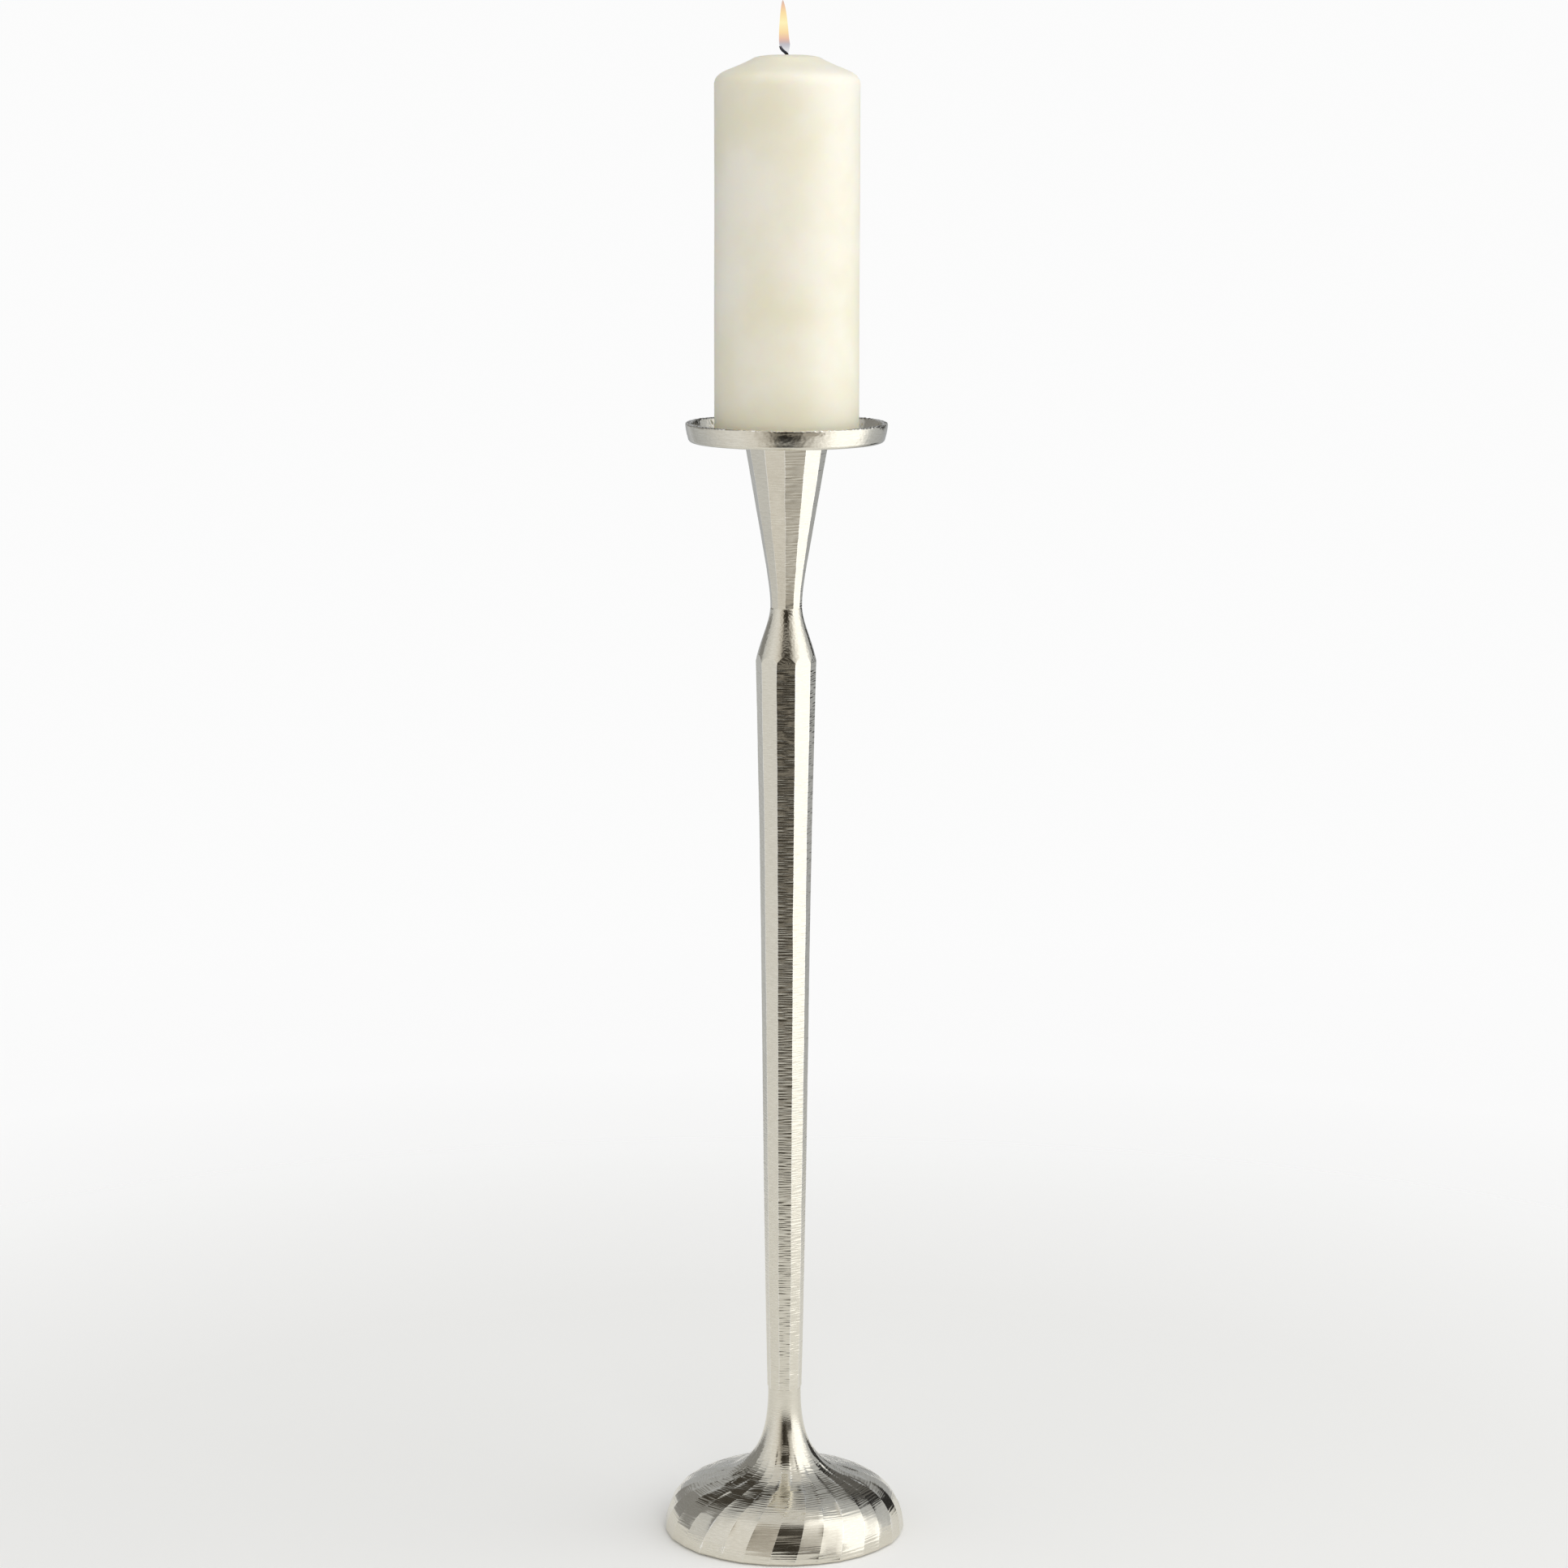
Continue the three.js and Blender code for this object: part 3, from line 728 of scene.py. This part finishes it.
def build_foot():
    """Thirty flats that swirl up the dome and fade into the neck, cut with file strokes.

    radius = round + (polygon - round) x faceted, then each point moves by its cut along the
    outline's normal. faceted is 0 on the neck and 1 beyond 29 mm. The fine strokes fade up the
    neck, and the bold ones take their place beyond 54 mm.
    """
    line = stepped(foot_outside(), 0.26)
    run = run_along(line)
    normal = facing(line)
    radius, height = line[:, 0], line[:, 1]
    step = 2 * math.pi / FOOT_SIDES
    uneven = rng.uniform(-UNEVEN, UNEVEN, (1, FOOT_SIDES)) * step
    swirl = np.radians(SWIRL) * np.clip(run / SWIRL_RUN, 0, 1)[:, None]
    angles = np.arange(FOOT_SIDES)[None, :] * step - math.radians(FOOT_FIRST) + uneven + swirl
    reach = radius[:, None] * np.cos(step / 2) + 0 * angles
    level = np.zeros((len(run), FOOT_SIDES, len(FOOT_ACROSS)))
    ring = flats(angles, reach, level, FOOT_ACROSS)
    polygon, angle = np.hypot(ring[..., 0], ring[..., 1]), np.arctan2(ring[..., 1], ring[..., 0])
    faceted = np.clip((radius - 11.0) / 18.0, 0, 1)[:, None]
    shape = radius[:, None] + (polygon - radius[:, None]) * faceted

    lower = np.clip((radius - 54.0) / 5.0, 0, 1)[:, None, None]
    neck = (np.clip((radius - 9) / 14, 0.10, 1) * np.clip((76 - height) / 8, 0, 1))[:, None, None]
    bold = strokes(run, FOOT_SIDES, FOOT_ACROSS, **BOLD_STROKES)
    fine = strokes(run, FOOT_SIDES, FOOT_ACROSS, **FINE_STROKES)
    cut = bold * lower + fine * (1 - lower) * neck
    roll = 0.16 * wander(run, FOOT_SIDES, 50.0, 18.0)[:, :, None]
    cut = cut + roll * faceted[:, :, None]
    shared = (cut[:, :, 0] + np.roll(cut[:, :, -1], 1, axis=1)) / 2  # one depth in a corner
    cut = cut[:, :, :-1].copy()
    cut[:, :, 0] = shared
    cut = cut.reshape(len(run), -1)
    r = shape + normal[:, :1] * cut
    z = height[:, None] + normal[:, 1:] * cut
    outside = polar(r, angle, z)

    hollow = stepped(foot_inside(), 2.5)
    a = angle[-1] + np.linspace(0, -math.radians(SWIRL), len(hollow))[:, None]
    inside = polar(hollow[:, :1], a, hollow[:, 1:])
    corners = np.arange(FOOT_SIDES) * (len(FOOT_ACROSS) - 1)
    top = len(line) - 1
    flats_end = int(np.argmax(radius < 24.0))
    grid = np.concatenate([outside, inside])
    return skin("foot_filed", grid, True, (corners, flats_end), (0, top, top + 1, len(grid) - 1))


foot = build_foot()
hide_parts("base_dome")

# %% [markdown]
# ## Dish
# The dish is a shallow tray with an upright rim which catches the wax. Its side was left as it
# came from the mould, so it is finely pitted, and the rim's top edge is a little nibbled. The
# pits are shallow round dents scattered at random.

# %% Dish
dish_bottom, dish_top, dish_radius = extent("dish")
DISH_WALL = 2.8
DISH_FLOOR = 3.0
SCREW_BORE = 2.85
COUNTERSINK = 5.2
DISH_COLUMNS = 540
PLAIN_FLOOR = (7.0, dish_radius - 8.0)  # radii between which the floor is plain


def dish_line():
    """Underside, rounded corner, side, rim, inner side, floor and the screw's countersink."""
    foot_r, corner = dish_radius - 1.4, 2.2
    floor = dish_bottom + DISH_FLOOR
    pull_a, pull_b = (foot_r - corner * 0.45, dish_bottom), (foot_r, dish_bottom + corner * 0.45)
    end = (foot_r + 0.1, dish_bottom + corner)
    bend = curve((foot_r - corner, dish_bottom), pull_a, pull_b, end, steps=12)
    side_top = (dish_radius, dish_top - 1.0)
    side = curve(bend[-1], (foot_r + 0.6, dish_bottom + 4), (dish_radius, dish_top - 4), side_top)
    inner, inner_foot = dish_radius - DISH_WALL, foot_r - DISH_WALL
    lip = curve(side_top, (dish_radius, dish_top), (inner, dish_top), (inner, dish_top - 1), 14)
    start, pull_a = (inner_foot, floor + 1.5), (inner_foot, floor + 0.6)
    fillet = curve(start, pull_a, (inner_foot - 0.6, floor), (inner_foot - 1.5, floor), 10)
    sink = [(COUNTERSINK, floor), (SCREW_BORE, floor - COUNTERSINK + SCREW_BORE)]
    return outline((SCREW_BORE, dish_bottom), bend, side, lip, fillet, sink)


def build_dish():
    """The turned outline with sand dents on its side, bolder ones inside the rim and nibbles on
    the lip. A point moves against the outline's normal by the deepest dent over it."""
    line = stepped(dish_line(), 0.4)
    plain = (line[:, 0] > PLAIN_FLOOR[0]) & (line[:, 0] < PLAIN_FLOOR[1])
    line = line[~plain | (np.arange(len(line)) % 4 == 0)]  # plain floor needs fewer rings
    grid = turned(line, DISH_COLUMNS)
    normal = facing(line)
    angle, height = np.arctan2(grid[..., 1], grid[..., 0]), grid[..., 2]
    hollow = np.zeros(angle.shape)
    outer = np.where((line[:, 0] > dish_radius - 1.6) & (normal[:, 0] > 0.3))[0]
    wall = slice(outer[0], outer[-1] + 6)
    sand = {"count": 2600, "radius": dish_radius, "size": 1.0, "depth": 0.05}
    hollow[wall] = dents(angle[wall], height[wall], **sand)
    inner = np.where((line[:, 0] > dish_radius - 5.5) & (normal[:, 0] < -0.3))[0]
    band = slice(inner[0] - 4, inner[-1] + 1)
    bold = {"count": 420, "radius": dish_radius - 3, "size": 2.4, "depth": 0.12}
    hollow[band] = np.maximum(hollow[band], dents(angle[band], height[band], **bold))
    lip = slice(outer[-1] - 2, outer[-1] + 7)
    nibbles = {"count": 330, "radius": dish_radius, "size": 1.2, "depth": 0.30}
    hollow[lip] = np.maximum(hollow[lip], dents(angle[lip], height[lip], **nibbles))
    r = np.hypot(grid[..., 0], grid[..., 1]) - normal[:, :1] * hollow
    z = height - normal[:, 1:] * hollow
    return skin("dish_cast", polar(r, angle, z), True)


dish = build_dish()
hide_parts("dish")

# %% [markdown]
# ## Candle
# A moulded pillar candle has a straight side, a soft shoulder and a sloping top with a small
# crown. The mould leaves it very slightly uneven, which a few slow waves round it give.

# %% Candle
candle_bottom, candle_top, candle_radius = extent("candle")
WICK_BORE = 1.25
CANDLE_SHOULDER = 780.0


def candle_line():
    """Foot with the tin's recess, straight side, shoulder, slope, crown and the wick's bore."""
    tin_recess, neck_recess = candle_bottom + 1.0, candle_bottom + 6.4
    pull_a, pull_b = (candle_radius - 0.3, candle_bottom), (candle_radius, candle_bottom + 0.3)
    end = (candle_radius, candle_bottom + 0.9)
    foot_edge = curve((candle_radius - 0.9, candle_bottom), pull_a, pull_b, end, steps=6)
    shoulder = curve(
        (candle_radius, CANDLE_SHOULDER), (candle_radius + 0.5, 788.5), (29.6, 787.9), (17.5, 794.7)
    )
    crown = curve(
        (17.5, 794.7), (15.4, 795.8), (9.0, candle_top - 0.1), (2.6, candle_top - 0.15)
    )
    well = [(WICK_BORE, candle_top - 0.5), (WICK_BORE, neck_recess), (2.3, neck_recess)]
    recess = [(2.3, tin_recess), (10.3, tin_recess), (10.3, candle_bottom)]
    return outline(recess[-1], foot_edge, shoulder, crown, well, recess)


def build_candle():
    """The turned outline, its side moved outwards by two waves round it, sway - 0.09 mm."""
    line = stepped(candle_line(), 1.1)
    grid = turned(line, 160)
    a, z = np.arctan2(grid[..., 1], grid[..., 0]), grid[..., 2]
    sway = 0.05 * np.sin(2 * a + z / 31.0) + 0.04 * np.sin(3 * a - z / 17.0)
    outer = (np.hypot(grid[..., 0], grid[..., 1]) > 12) & (z > candle_bottom + 1)
    grid[..., 0] += np.where(outer, (sway - 0.09) * np.cos(a), 0)
    grid[..., 1] += np.where(outer, (sway - 0.09) * np.sin(a), 0)
    return skin("candle_moulded", grid, True, body="candle")


candle = build_candle()
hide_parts("candle")

# %% [markdown]
# ## Wick and flame
# The wick is a cotton braid. It stands straight in the wax and curls over where it burns, and it
# thins to a charred tip. It is a tube carried along a path, with the braid's ridges as two sets
# of opposite spirals. The flame is a thin closed skin, pointed above and slanted round the wick
# below. It isn't solid, so it has no CAD piece and only rides on the candle.

# %% Wick
wick_bottom = extent("wick")[0]
CHARRED_RUN = 5.2  # mm of height over which the wick burns away


def carried(path, radii, columns, ripple):
    """Rings of radius radii + ripple round a path in the x-z plane. Each ring stands square to
    the path: point = path + r (cos a side + sin a depth), with side turned 90 degrees from the
    path's direction and depth along y."""
    along = np.gradient(path, axis=0)
    along /= np.linalg.norm(along, axis=1)[:, None]
    side = np.c_[along[:, 2], np.zeros(len(path)), -along[:, 0]]
    depth = np.array([0.0, 1.0, 0.0])
    a = np.linspace(0, 2 * math.pi, columns, endpoint=False)
    r = radii[:, None] + ripple(a)
    around = np.cos(a)[None, :, None] * side[:, None, :] + np.sin(a)[None, :, None] * depth
    return path[:, None, :] + r[..., None] * around


def build_wick():
    """A tube up the bore, then over to one side. burnt goes from 0 to 1 over CHARRED_RUN, and
    radius = 0.88 - 0.15 x (3 burnt, 1 at most) - 0.12 burnt^4, plus the braid's ridges."""
    base = candle_top - 1.0
    bend = curve((0.0, base), (0.0, base + 2.2), (-3.0, base + 2.2), (-3.7, base + 5.2), steps=60)
    line = stepped(outline((0.0, wick_bottom), bend), 0.4)
    path = np.c_[line[:, 0], np.zeros(len(line)), line[:, 1]]
    run = run_along(line)
    burnt = np.clip((line[:, 1] - base) / CHARRED_RUN, 0, 1)
    radii = 0.88 - 0.15 * np.clip(burnt * 3, 0, 1) - 0.12 * burnt**4

    def braid(a):
        """|sin(1.5 a + t)| + |sin(1.5 a - t)|, less 1: t makes one turn every 2.4 mm."""
        twist = 2 * math.pi * run[:, None] / 2.4
        ridges = np.abs(np.sin(1.5 * a + twist)) + np.abs(np.sin(1.5 * a - twist))
        return 0.07 * (ridges - 1.0)

    return skin("wick_braided", carried(path, radii, 24, braid), False, body="candle")


wick = build_wick()
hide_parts("wick")

# %% Flame
FLAME_HEIGHT = 27.5
FLAME_RADIUS = 2.95


def build_flame():
    """A tube along a bend. With t from 0 at the wick to 1 at the tip, radius = FLAME_RADIUS x
    sqrt(t / 0.17), 1 at most, x (1 - t)^0.62 x (1 + 0.35 t)."""
    base = candle_top + 0.2
    line = curve((-0.2, base), (-2.6, base + 5.5), (-1.6, base + 14), (-2.5, base + FLAME_HEIGHT))
    line = stepped(line, 0.5)
    path = np.c_[line[:, 0], np.zeros(len(line)), line[:, 1]]
    t = np.linspace(0, 1, len(line))
    bulb = np.minimum(1, np.sqrt(np.clip(t / 0.17, 0.02, 1)))
    radii = FLAME_RADIUS * bulb * (1 - t) ** 0.62 * (1 + 0.35 * t)
    radii = np.maximum(radii, 0.04)
    return skin("flame", carried(path, radii, 36, lambda a: 0 * a), False, body="candle")


flame = build_flame()

# %% [markdown]
# ## Felt
# A pressed felt disc closes the foot from below and keeps it from scratching the table.

# %% Felt pad
felt_bottom, felt_top, felt_radius = extent("felt_pad")


def build_felt():
    """A disc with a rounded edge, turned, its outer 2 mm frayed inwards by up to 0.12 mm."""
    edge = felt_radius
    side = curve(
        (edge - 0.6, felt_bottom), (edge, felt_bottom + 0.1), (edge, felt_top - 0.3),
        (edge - 0.5, felt_top), steps=10,
    )
    line = stepped(outline((3.0, felt_bottom), side, (3.0, felt_top)), 1.2)
    grid = turned(line, 220)
    a = np.arctan2(grid[..., 1], grid[..., 0])
    fuzz = rng.uniform(-0.12, 0.0, grid.shape[:2]) * (line[:, :1] > edge - 2)
    grid[..., 0] += fuzz * np.cos(a)
    grid[..., 1] += fuzz * np.sin(a)
    return skin("felt_disc", grid, False)


felt = build_felt()
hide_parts("felt_pad")

# %% [markdown]
# ## Table top
# A pale table which fades out with distance, so that no hard edge shows in the metal.

# %% Table
TABLE_RADIUS = 1.6
SOLIDITY = [(0, 0.98), (0.16, 0.95), (0.28, 0.86), (0.4, 0.58), (0.52, 0.28), (0.68, 0.06), (1, 0)]


def build_table():
    """One flat face with 96 corners: x = R cos a, y = R sin a."""
    a = np.linspace(0, 2 * math.pi, 96, endpoint=False)
    rim = np.c_[TABLE_RADIUS * np.cos(a), TABLE_RADIUS * np.sin(a), np.zeros(len(a))]
    mesh = bpy.data.meshes.new("table")
    mesh.from_pydata(rim.tolist(), [], [list(range(len(a)))])
    table = bpy.data.objects.new("table", mesh)
    bpy.context.scene.collection.objects.link(table)
    return table


table = build_table()


def table_finish():
    """White paint mixed with nothing: SOLIDITY gives how solid it is against distance / R."""
    material, tree, place = blank("matt white table paint")
    away = add(tree, "VectorMath", (place,), operation="LENGTH")
    part = add(tree, "Math", (away, TABLE_RADIUS), operation="DIVIDE")
    stops = [(position, (level, level, level, 1.0)) for position, level in SOLIDITY]
    solid = add(tree, "ValToRGB", {"Fac": part}, stops)
    paint = add(tree, "BsdfDiffuse", {"Color": linear("#FCFCFA")})
    faded = add(tree, "MixShader", (solid, add(tree, "BsdfTransparent"), paint))
    add(tree, "OutputMaterial", {"Surface": faded})
    return material


table.data.materials.append(table_finish())
print("table radius, metres:", TABLE_RADIUS)

# %% [markdown]
# ## Bright nickel plate over filed aluminium
# The casting is aluminium, filed by hand and then plated with nickel and left unlacquered. Plate
# follows every file mark, so it gives a bright, slightly warm mirror which is smeared up and down
# by marks that run across. Fine scratches between the strokes are too thin to model, so they are
# a bump which is stretched round the stick: a noise that changes fast with height and slowly
# around. The same noise paints the scratches' hollows a little darker: painted shade. Larger
# blotches change the roughness a little, as handled metal does. Hands and cloths have worn the
# sharp corners smoother, and their colour is painted whiter, which is partly that wear and partly
# a painted highlight along the corners. The skins carry how sharp each corner is as an attribute,
# and the blotches break it up, because wear is never even.

# %% Plated metal
BLOTCHES = 60.0  # to the metre, one every 17 mm
PITS = 1300.0  # to the metre, one every 0.8 mm
STRETCH = (0.11, 0.11, 1.0)  # a scratch is nine times as long as it is high


def plated_metal(name, scratch_height, scratch_depth, roughness, grain=0.0):
    """scratch_height is the spacing of the fine scratches in mm; grain is the pitting's depth.
    The corner mask = (how sharp the corner is) x (blotches), each through a smooth step; it makes
    corners smoother and paints them whiter, partly wear and partly a painted highlight."""
    material, tree, place = blank(name)
    stretched = add(tree, "Mapping", {"Vector": place, "Scale": STRETCH})
    fine = 1 / (scratch_height * MM)
    lines = add(
        tree, "TexNoise", {"Vector": stretched, "Scale": fine, "Detail": 3.0, "Roughness": 0.6}
    )
    blotches = add(tree, "TexNoise", {"Vector": place, "Scale": BLOTCHES, "Detail": 4.0})
    bump = add(tree, "Bump", {"Height": lines, "Distance": scratch_depth * MM})
    if grain:
        pits = add(
            tree, "TexNoise", {"Vector": place, "Scale": PITS, "Detail": 3.0, "Roughness": 0.7}
        )
        bump = add(tree, "Bump", {"Height": pits, "Distance": grain * MM, "Normal": bump})
    corner = add(tree, "Attribute", attribute_name="corner").outputs["Fac"]
    sharp = add(tree, "MapRange", (corner, 0.86, 1.0), **SMOOTH)
    handled = add(tree, "MapRange", (blotches, 0.3, 0.5), **SMOOTH)
    # Corner mask: wear, and also where the corners get a painted highlight.
    rubbed_and_highlit = add(tree, "Math", (sharp, handled), operation="MULTIPLY")
    gloss = add(
        tree, "MapRange", (blotches, 0.3, 0.7, roughness * 0.8, roughness * 1.25), **SMOOTH
    )
    smoother = add(tree, "MapRange", (rubbed_and_highlit, 0.0, 1.0, 1.0, 0.7), **SMOOTH)
    gloss = add(tree, "Math", (gloss, smoother), operation="MULTIPLY")
    # Painted shade: where the scratch noise is low, in the bump's hollows, the tone is a little
    # darker.
    shade = add(tree, "MapRange", (lines, 0.35, 0.7), **SMOOTH)
    tone = add(tree, "Mix", {0: shade, 6: linear("#DCD7C9"), 7: linear("#E6E2D5")}, **COLOURS)
    # Sharp corners painted whiter: partly wear, partly a painted highlight along them.
    tone = add(tree, "Mix", {0: rubbed_and_highlit, 6: tone, 7: linear("#F8F6F0")}, **COLOURS)
    metal = {"Base Color": tone, "Metallic": 1.0, "Roughness": gloss, "Normal": bump}
    add(tree, "OutputMaterial", {"Surface": add(tree, "BsdfPrincipled", metal)})
    return material


filed_plate = plated_metal("nickel plate over filed casting", 0.35, 0.02, 0.12)
turned_plate = plated_metal("nickel plate over turned casting", 0.28, 0.01, 0.13, grain=0.02)
pitted_plate = plated_metal("nickel plate over as-cast rim", 0.5, 0.004, 0.12, grain=0.022)
finishes = (filed_plate, filed_plate, filed_plate, turned_plate, pitted_plate)
for piece, material in zip((stem, cone, foot, collar, dish), finishes):
    piece.data.materials.append(material)
    print(piece.name, "is finished in", material.name)

# %% [markdown]
# ## Ivory wax
# Paraffin wax is cloudy: light goes in, scatters a few millimetres and comes out warmer, so its
# shadows are soft and its edges glow. The surface is satin, with faint mottling where the wax
# cooled unevenly. Subsurface scattering gives the glow, and noise gives the mottling.

# %% Wax
WAX_CLOUDS = 22.0  # to the metre, one every 45 mm
WAX_PORES = 700.0  # to the metre, one every 1.4 mm
WAX_SCATTER = 0.008  # metres that red light travels inside


def ivory_wax():
    """Clouds choose between two tones, and pores make a shallow bump and vary the roughness."""
    material, tree, place = blank("moulded ivory paraffin wax")
    cloud = add(tree, "TexNoise", {"Vector": place, "Scale": WAX_CLOUDS, "Detail": 3.0})
    pores = add(tree, "TexNoise", {"Vector": place, "Scale": WAX_PORES, "Detail": 4.0})
    shade = add(tree, "MapRange", (cloud, 0.35, 0.68), **SMOOTH)
    tone = add(tree, "Mix", {0: shade, 6: linear("#EBE7D3"), 7: linear("#F1EEE2")}, **COLOURS)
    bump = add(tree, "Bump", {"Height": pores, "Distance": 0.03 * MM})
    wax = {
        "Base Color": tone,
        "Roughness": add(tree, "MapRange", (pores, 0.3, 0.7, 0.42, 0.55), **SMOOTH),
        "IOR": 1.44,
        "Subsurface Weight": 0.8,
        "Subsurface Radius": (1.0, 0.75, 0.45),
        "Subsurface Scale": WAX_SCATTER,
        "Normal": bump,
    }
    add(tree, "OutputMaterial", {"Surface": add(tree, "BsdfPrincipled", wax)})
    return material


candle.data.materials.append(ivory_wax())
print("wax scatters light over about", WAX_SCATTER / MM, "mm")

# %% [markdown]
# ## Cotton, char and flame
# The wick is cream cotton inside the wax and black char above it. The flame gives its own light:
# bluish-grey and clear round the wick, peach above that, pale yellow in its body and peach again
# at the tip. It is see-through, so its shader mixes a clear shader with an emission.

# %% Wick and flame materials
THREADS = 2600.0  # to the metre, one every 0.4 mm
FLAME_COLOURS = [  # part of the height, colour
    (0.0, "#5F6478"),
    (0.17, "#A9A5B0"),
    (0.28, "#E9BFA9"),
    (0.40, "#FBDDA8"),
    (0.58, "#FFF3BC"),
    (0.76, "#FCE0A6"),
    (0.90, "#F0C6A6"),
    (1.0, "#D6BDB2"),
]


def charred_cotton():
    """Cream turns to char from 3 mm below the candle's top to 0.4 mm above it."""
    material, tree, place = blank("braided cotton with a charred end")
    height = add(tree, "SeparateXYZ", (place,)).outputs["Z"]
    threads = add(tree, "TexNoise", {"Vector": place, "Scale": THREADS, "Detail": 3.0})
    char = ((candle_top - 3) * MM, (candle_top + 0.4) * MM)
    burnt = add(tree, "MapRange", (height, *char), **SMOOTH)
    tone = add(tree, "Mix", {0: burnt, 6: linear("#CFC4A6"), 7: linear("#060505")}, **COLOURS)
    bump = add(tree, "Bump", {"Height": threads, "Distance": 0.12 * MM})
    cotton = {"Base Color": tone, "Roughness": 0.95, "Specular IOR Level": 0.2, "Normal": bump}
    add(tree, "OutputMaterial", {"Surface": add(tree, "BsdfPrincipled", cotton)})
    return material


def candle_flame():
    """rise = (height - low) / (high - low); it picks the colour, and how much covers what is
    behind: little below, nearly all from a third of the way up."""
    material, tree, place = blank("candle flame")
    height = add(tree, "SeparateXYZ", (place,)).outputs["Z"]
    low, high = (candle_top + 0.2) * MM, (candle_top + 0.2 + FLAME_HEIGHT) * MM
    rise = add(tree, "Math", (height, low), operation="SUBTRACT")
    rise = add(tree, "Math", (rise, high - low), operation="DIVIDE")
    stops = [(position, linear(colour)) for position, colour in FLAME_COLOURS]
    colour = add(tree, "ValToRGB", {"Fac": rise}, stops)
    cover = add(tree, "MapRange", (rise, 0.04, 0.32, 0.14, 0.95), **SMOOTH)
    glow = add(tree, "Emission", {"Color": colour})
    flame = add(tree, "MixShader", (cover, add(tree, "BsdfTransparent"), glow))
    add(tree, "OutputMaterial", {"Surface": flame})
    return material


wick.data.materials.append(charred_cotton())
flame.data.materials.append(candle_flame())
print("flame height, mm:", FLAME_HEIGHT)

# %% [markdown]
# ## Felt and hidden metal
# Pressed felt is a mat of short fibres: dull, soft, with a faint sheen at a low angle. The nut,
# washers, rod and screw are zinc-plated steel, the ballast is raw cast iron, and the wick's tin
# is bright tinplate.

# %% Felt
FIBRES = 1500.0  # to the metre, one every 0.7 mm


def pressed_felt():
    """Tangled noise chooses between two greys and makes a bump 0.3 mm deep."""
    material, tree, place = blank("pressed wool felt")
    fibres = add(
        tree, "TexNoise", {"Vector": place, "Scale": FIBRES, "Detail": 6.0, "Distortion": 1.5}
    )
    shade = add(tree, "MapRange", (fibres, 0.35, 0.65), **SMOOTH)
    tone = add(tree, "Mix", {0: shade, 6: linear("#3A3A3D"), 7: linear("#5C5C60")}, **COLOURS)
    bump = add(tree, "Bump", {"Height": fibres, "Distance": 0.3 * MM})
    wool = {"Base Color": tone, "Roughness": 0.95, "Sheen Weight": 0.4, "Normal": bump}
    add(tree, "OutputMaterial", {"Surface": add(tree, "BsdfPrincipled", wool)})
    return material


felt.data.materials.append(pressed_felt())
print("felt fibres to the metre:", FIBRES)

# %% Hidden metal
def plain_metal(name, dark, light, roughness, size, depth, metallic=1.0):
    """Two close tones, the roughness and a bump from one noise; size is the grain's, in mm."""
    material, tree, place = blank(name)
    grain = add(tree, "TexNoise", {"Vector": place, "Scale": 1 / (size * MM), "Detail": 4.0})
    shade = add(tree, "MapRange", (grain, 0.35, 0.65), **SMOOTH)
    tone = add(tree, "Mix", {0: shade, 6: linear(dark), 7: linear(light)}, **COLOURS)
    gloss = add(
        tree, "MapRange", (grain, 0.3, 0.7, roughness * 0.85, roughness * 1.15), **SMOOTH
    )
    bump = add(tree, "Bump", {"Height": grain, "Distance": depth * MM})
    metal = {"Base Color": tone, "Metallic": metallic, "Roughness": gloss, "Normal": bump}
    add(tree, "OutputMaterial", {"Surface": add(tree, "BsdfPrincipled", metal)})
    return material


zinc = plain_metal("zinc plated steel", "#A7AAAD", "#BFC1C2", 0.32, 1.2, 0.01)
iron = plain_metal("sand cast iron", "#2C2B2A", "#4A4846", 0.75, 0.9, 0.15, metallic=0.6)
tinplate = plain_metal("bright tinplate", "#C6C8C9", "#DADBDB", 0.25, 2.0, 0.01)
zinc_nodes = ("clamp_washer", "lock_washer", "clamp_nut", "tie_rod", "dish_screw")
hidden = {**dict.fromkeys(zinc_nodes, zinc), "ballast_weight": iron, "wick_sustainer": tinplate}
for node, material in hidden.items():
    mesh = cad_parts[node].data
    mesh.materials.clear()
    mesh.materials.append(material)
    print(node, "is finished in", material.name)
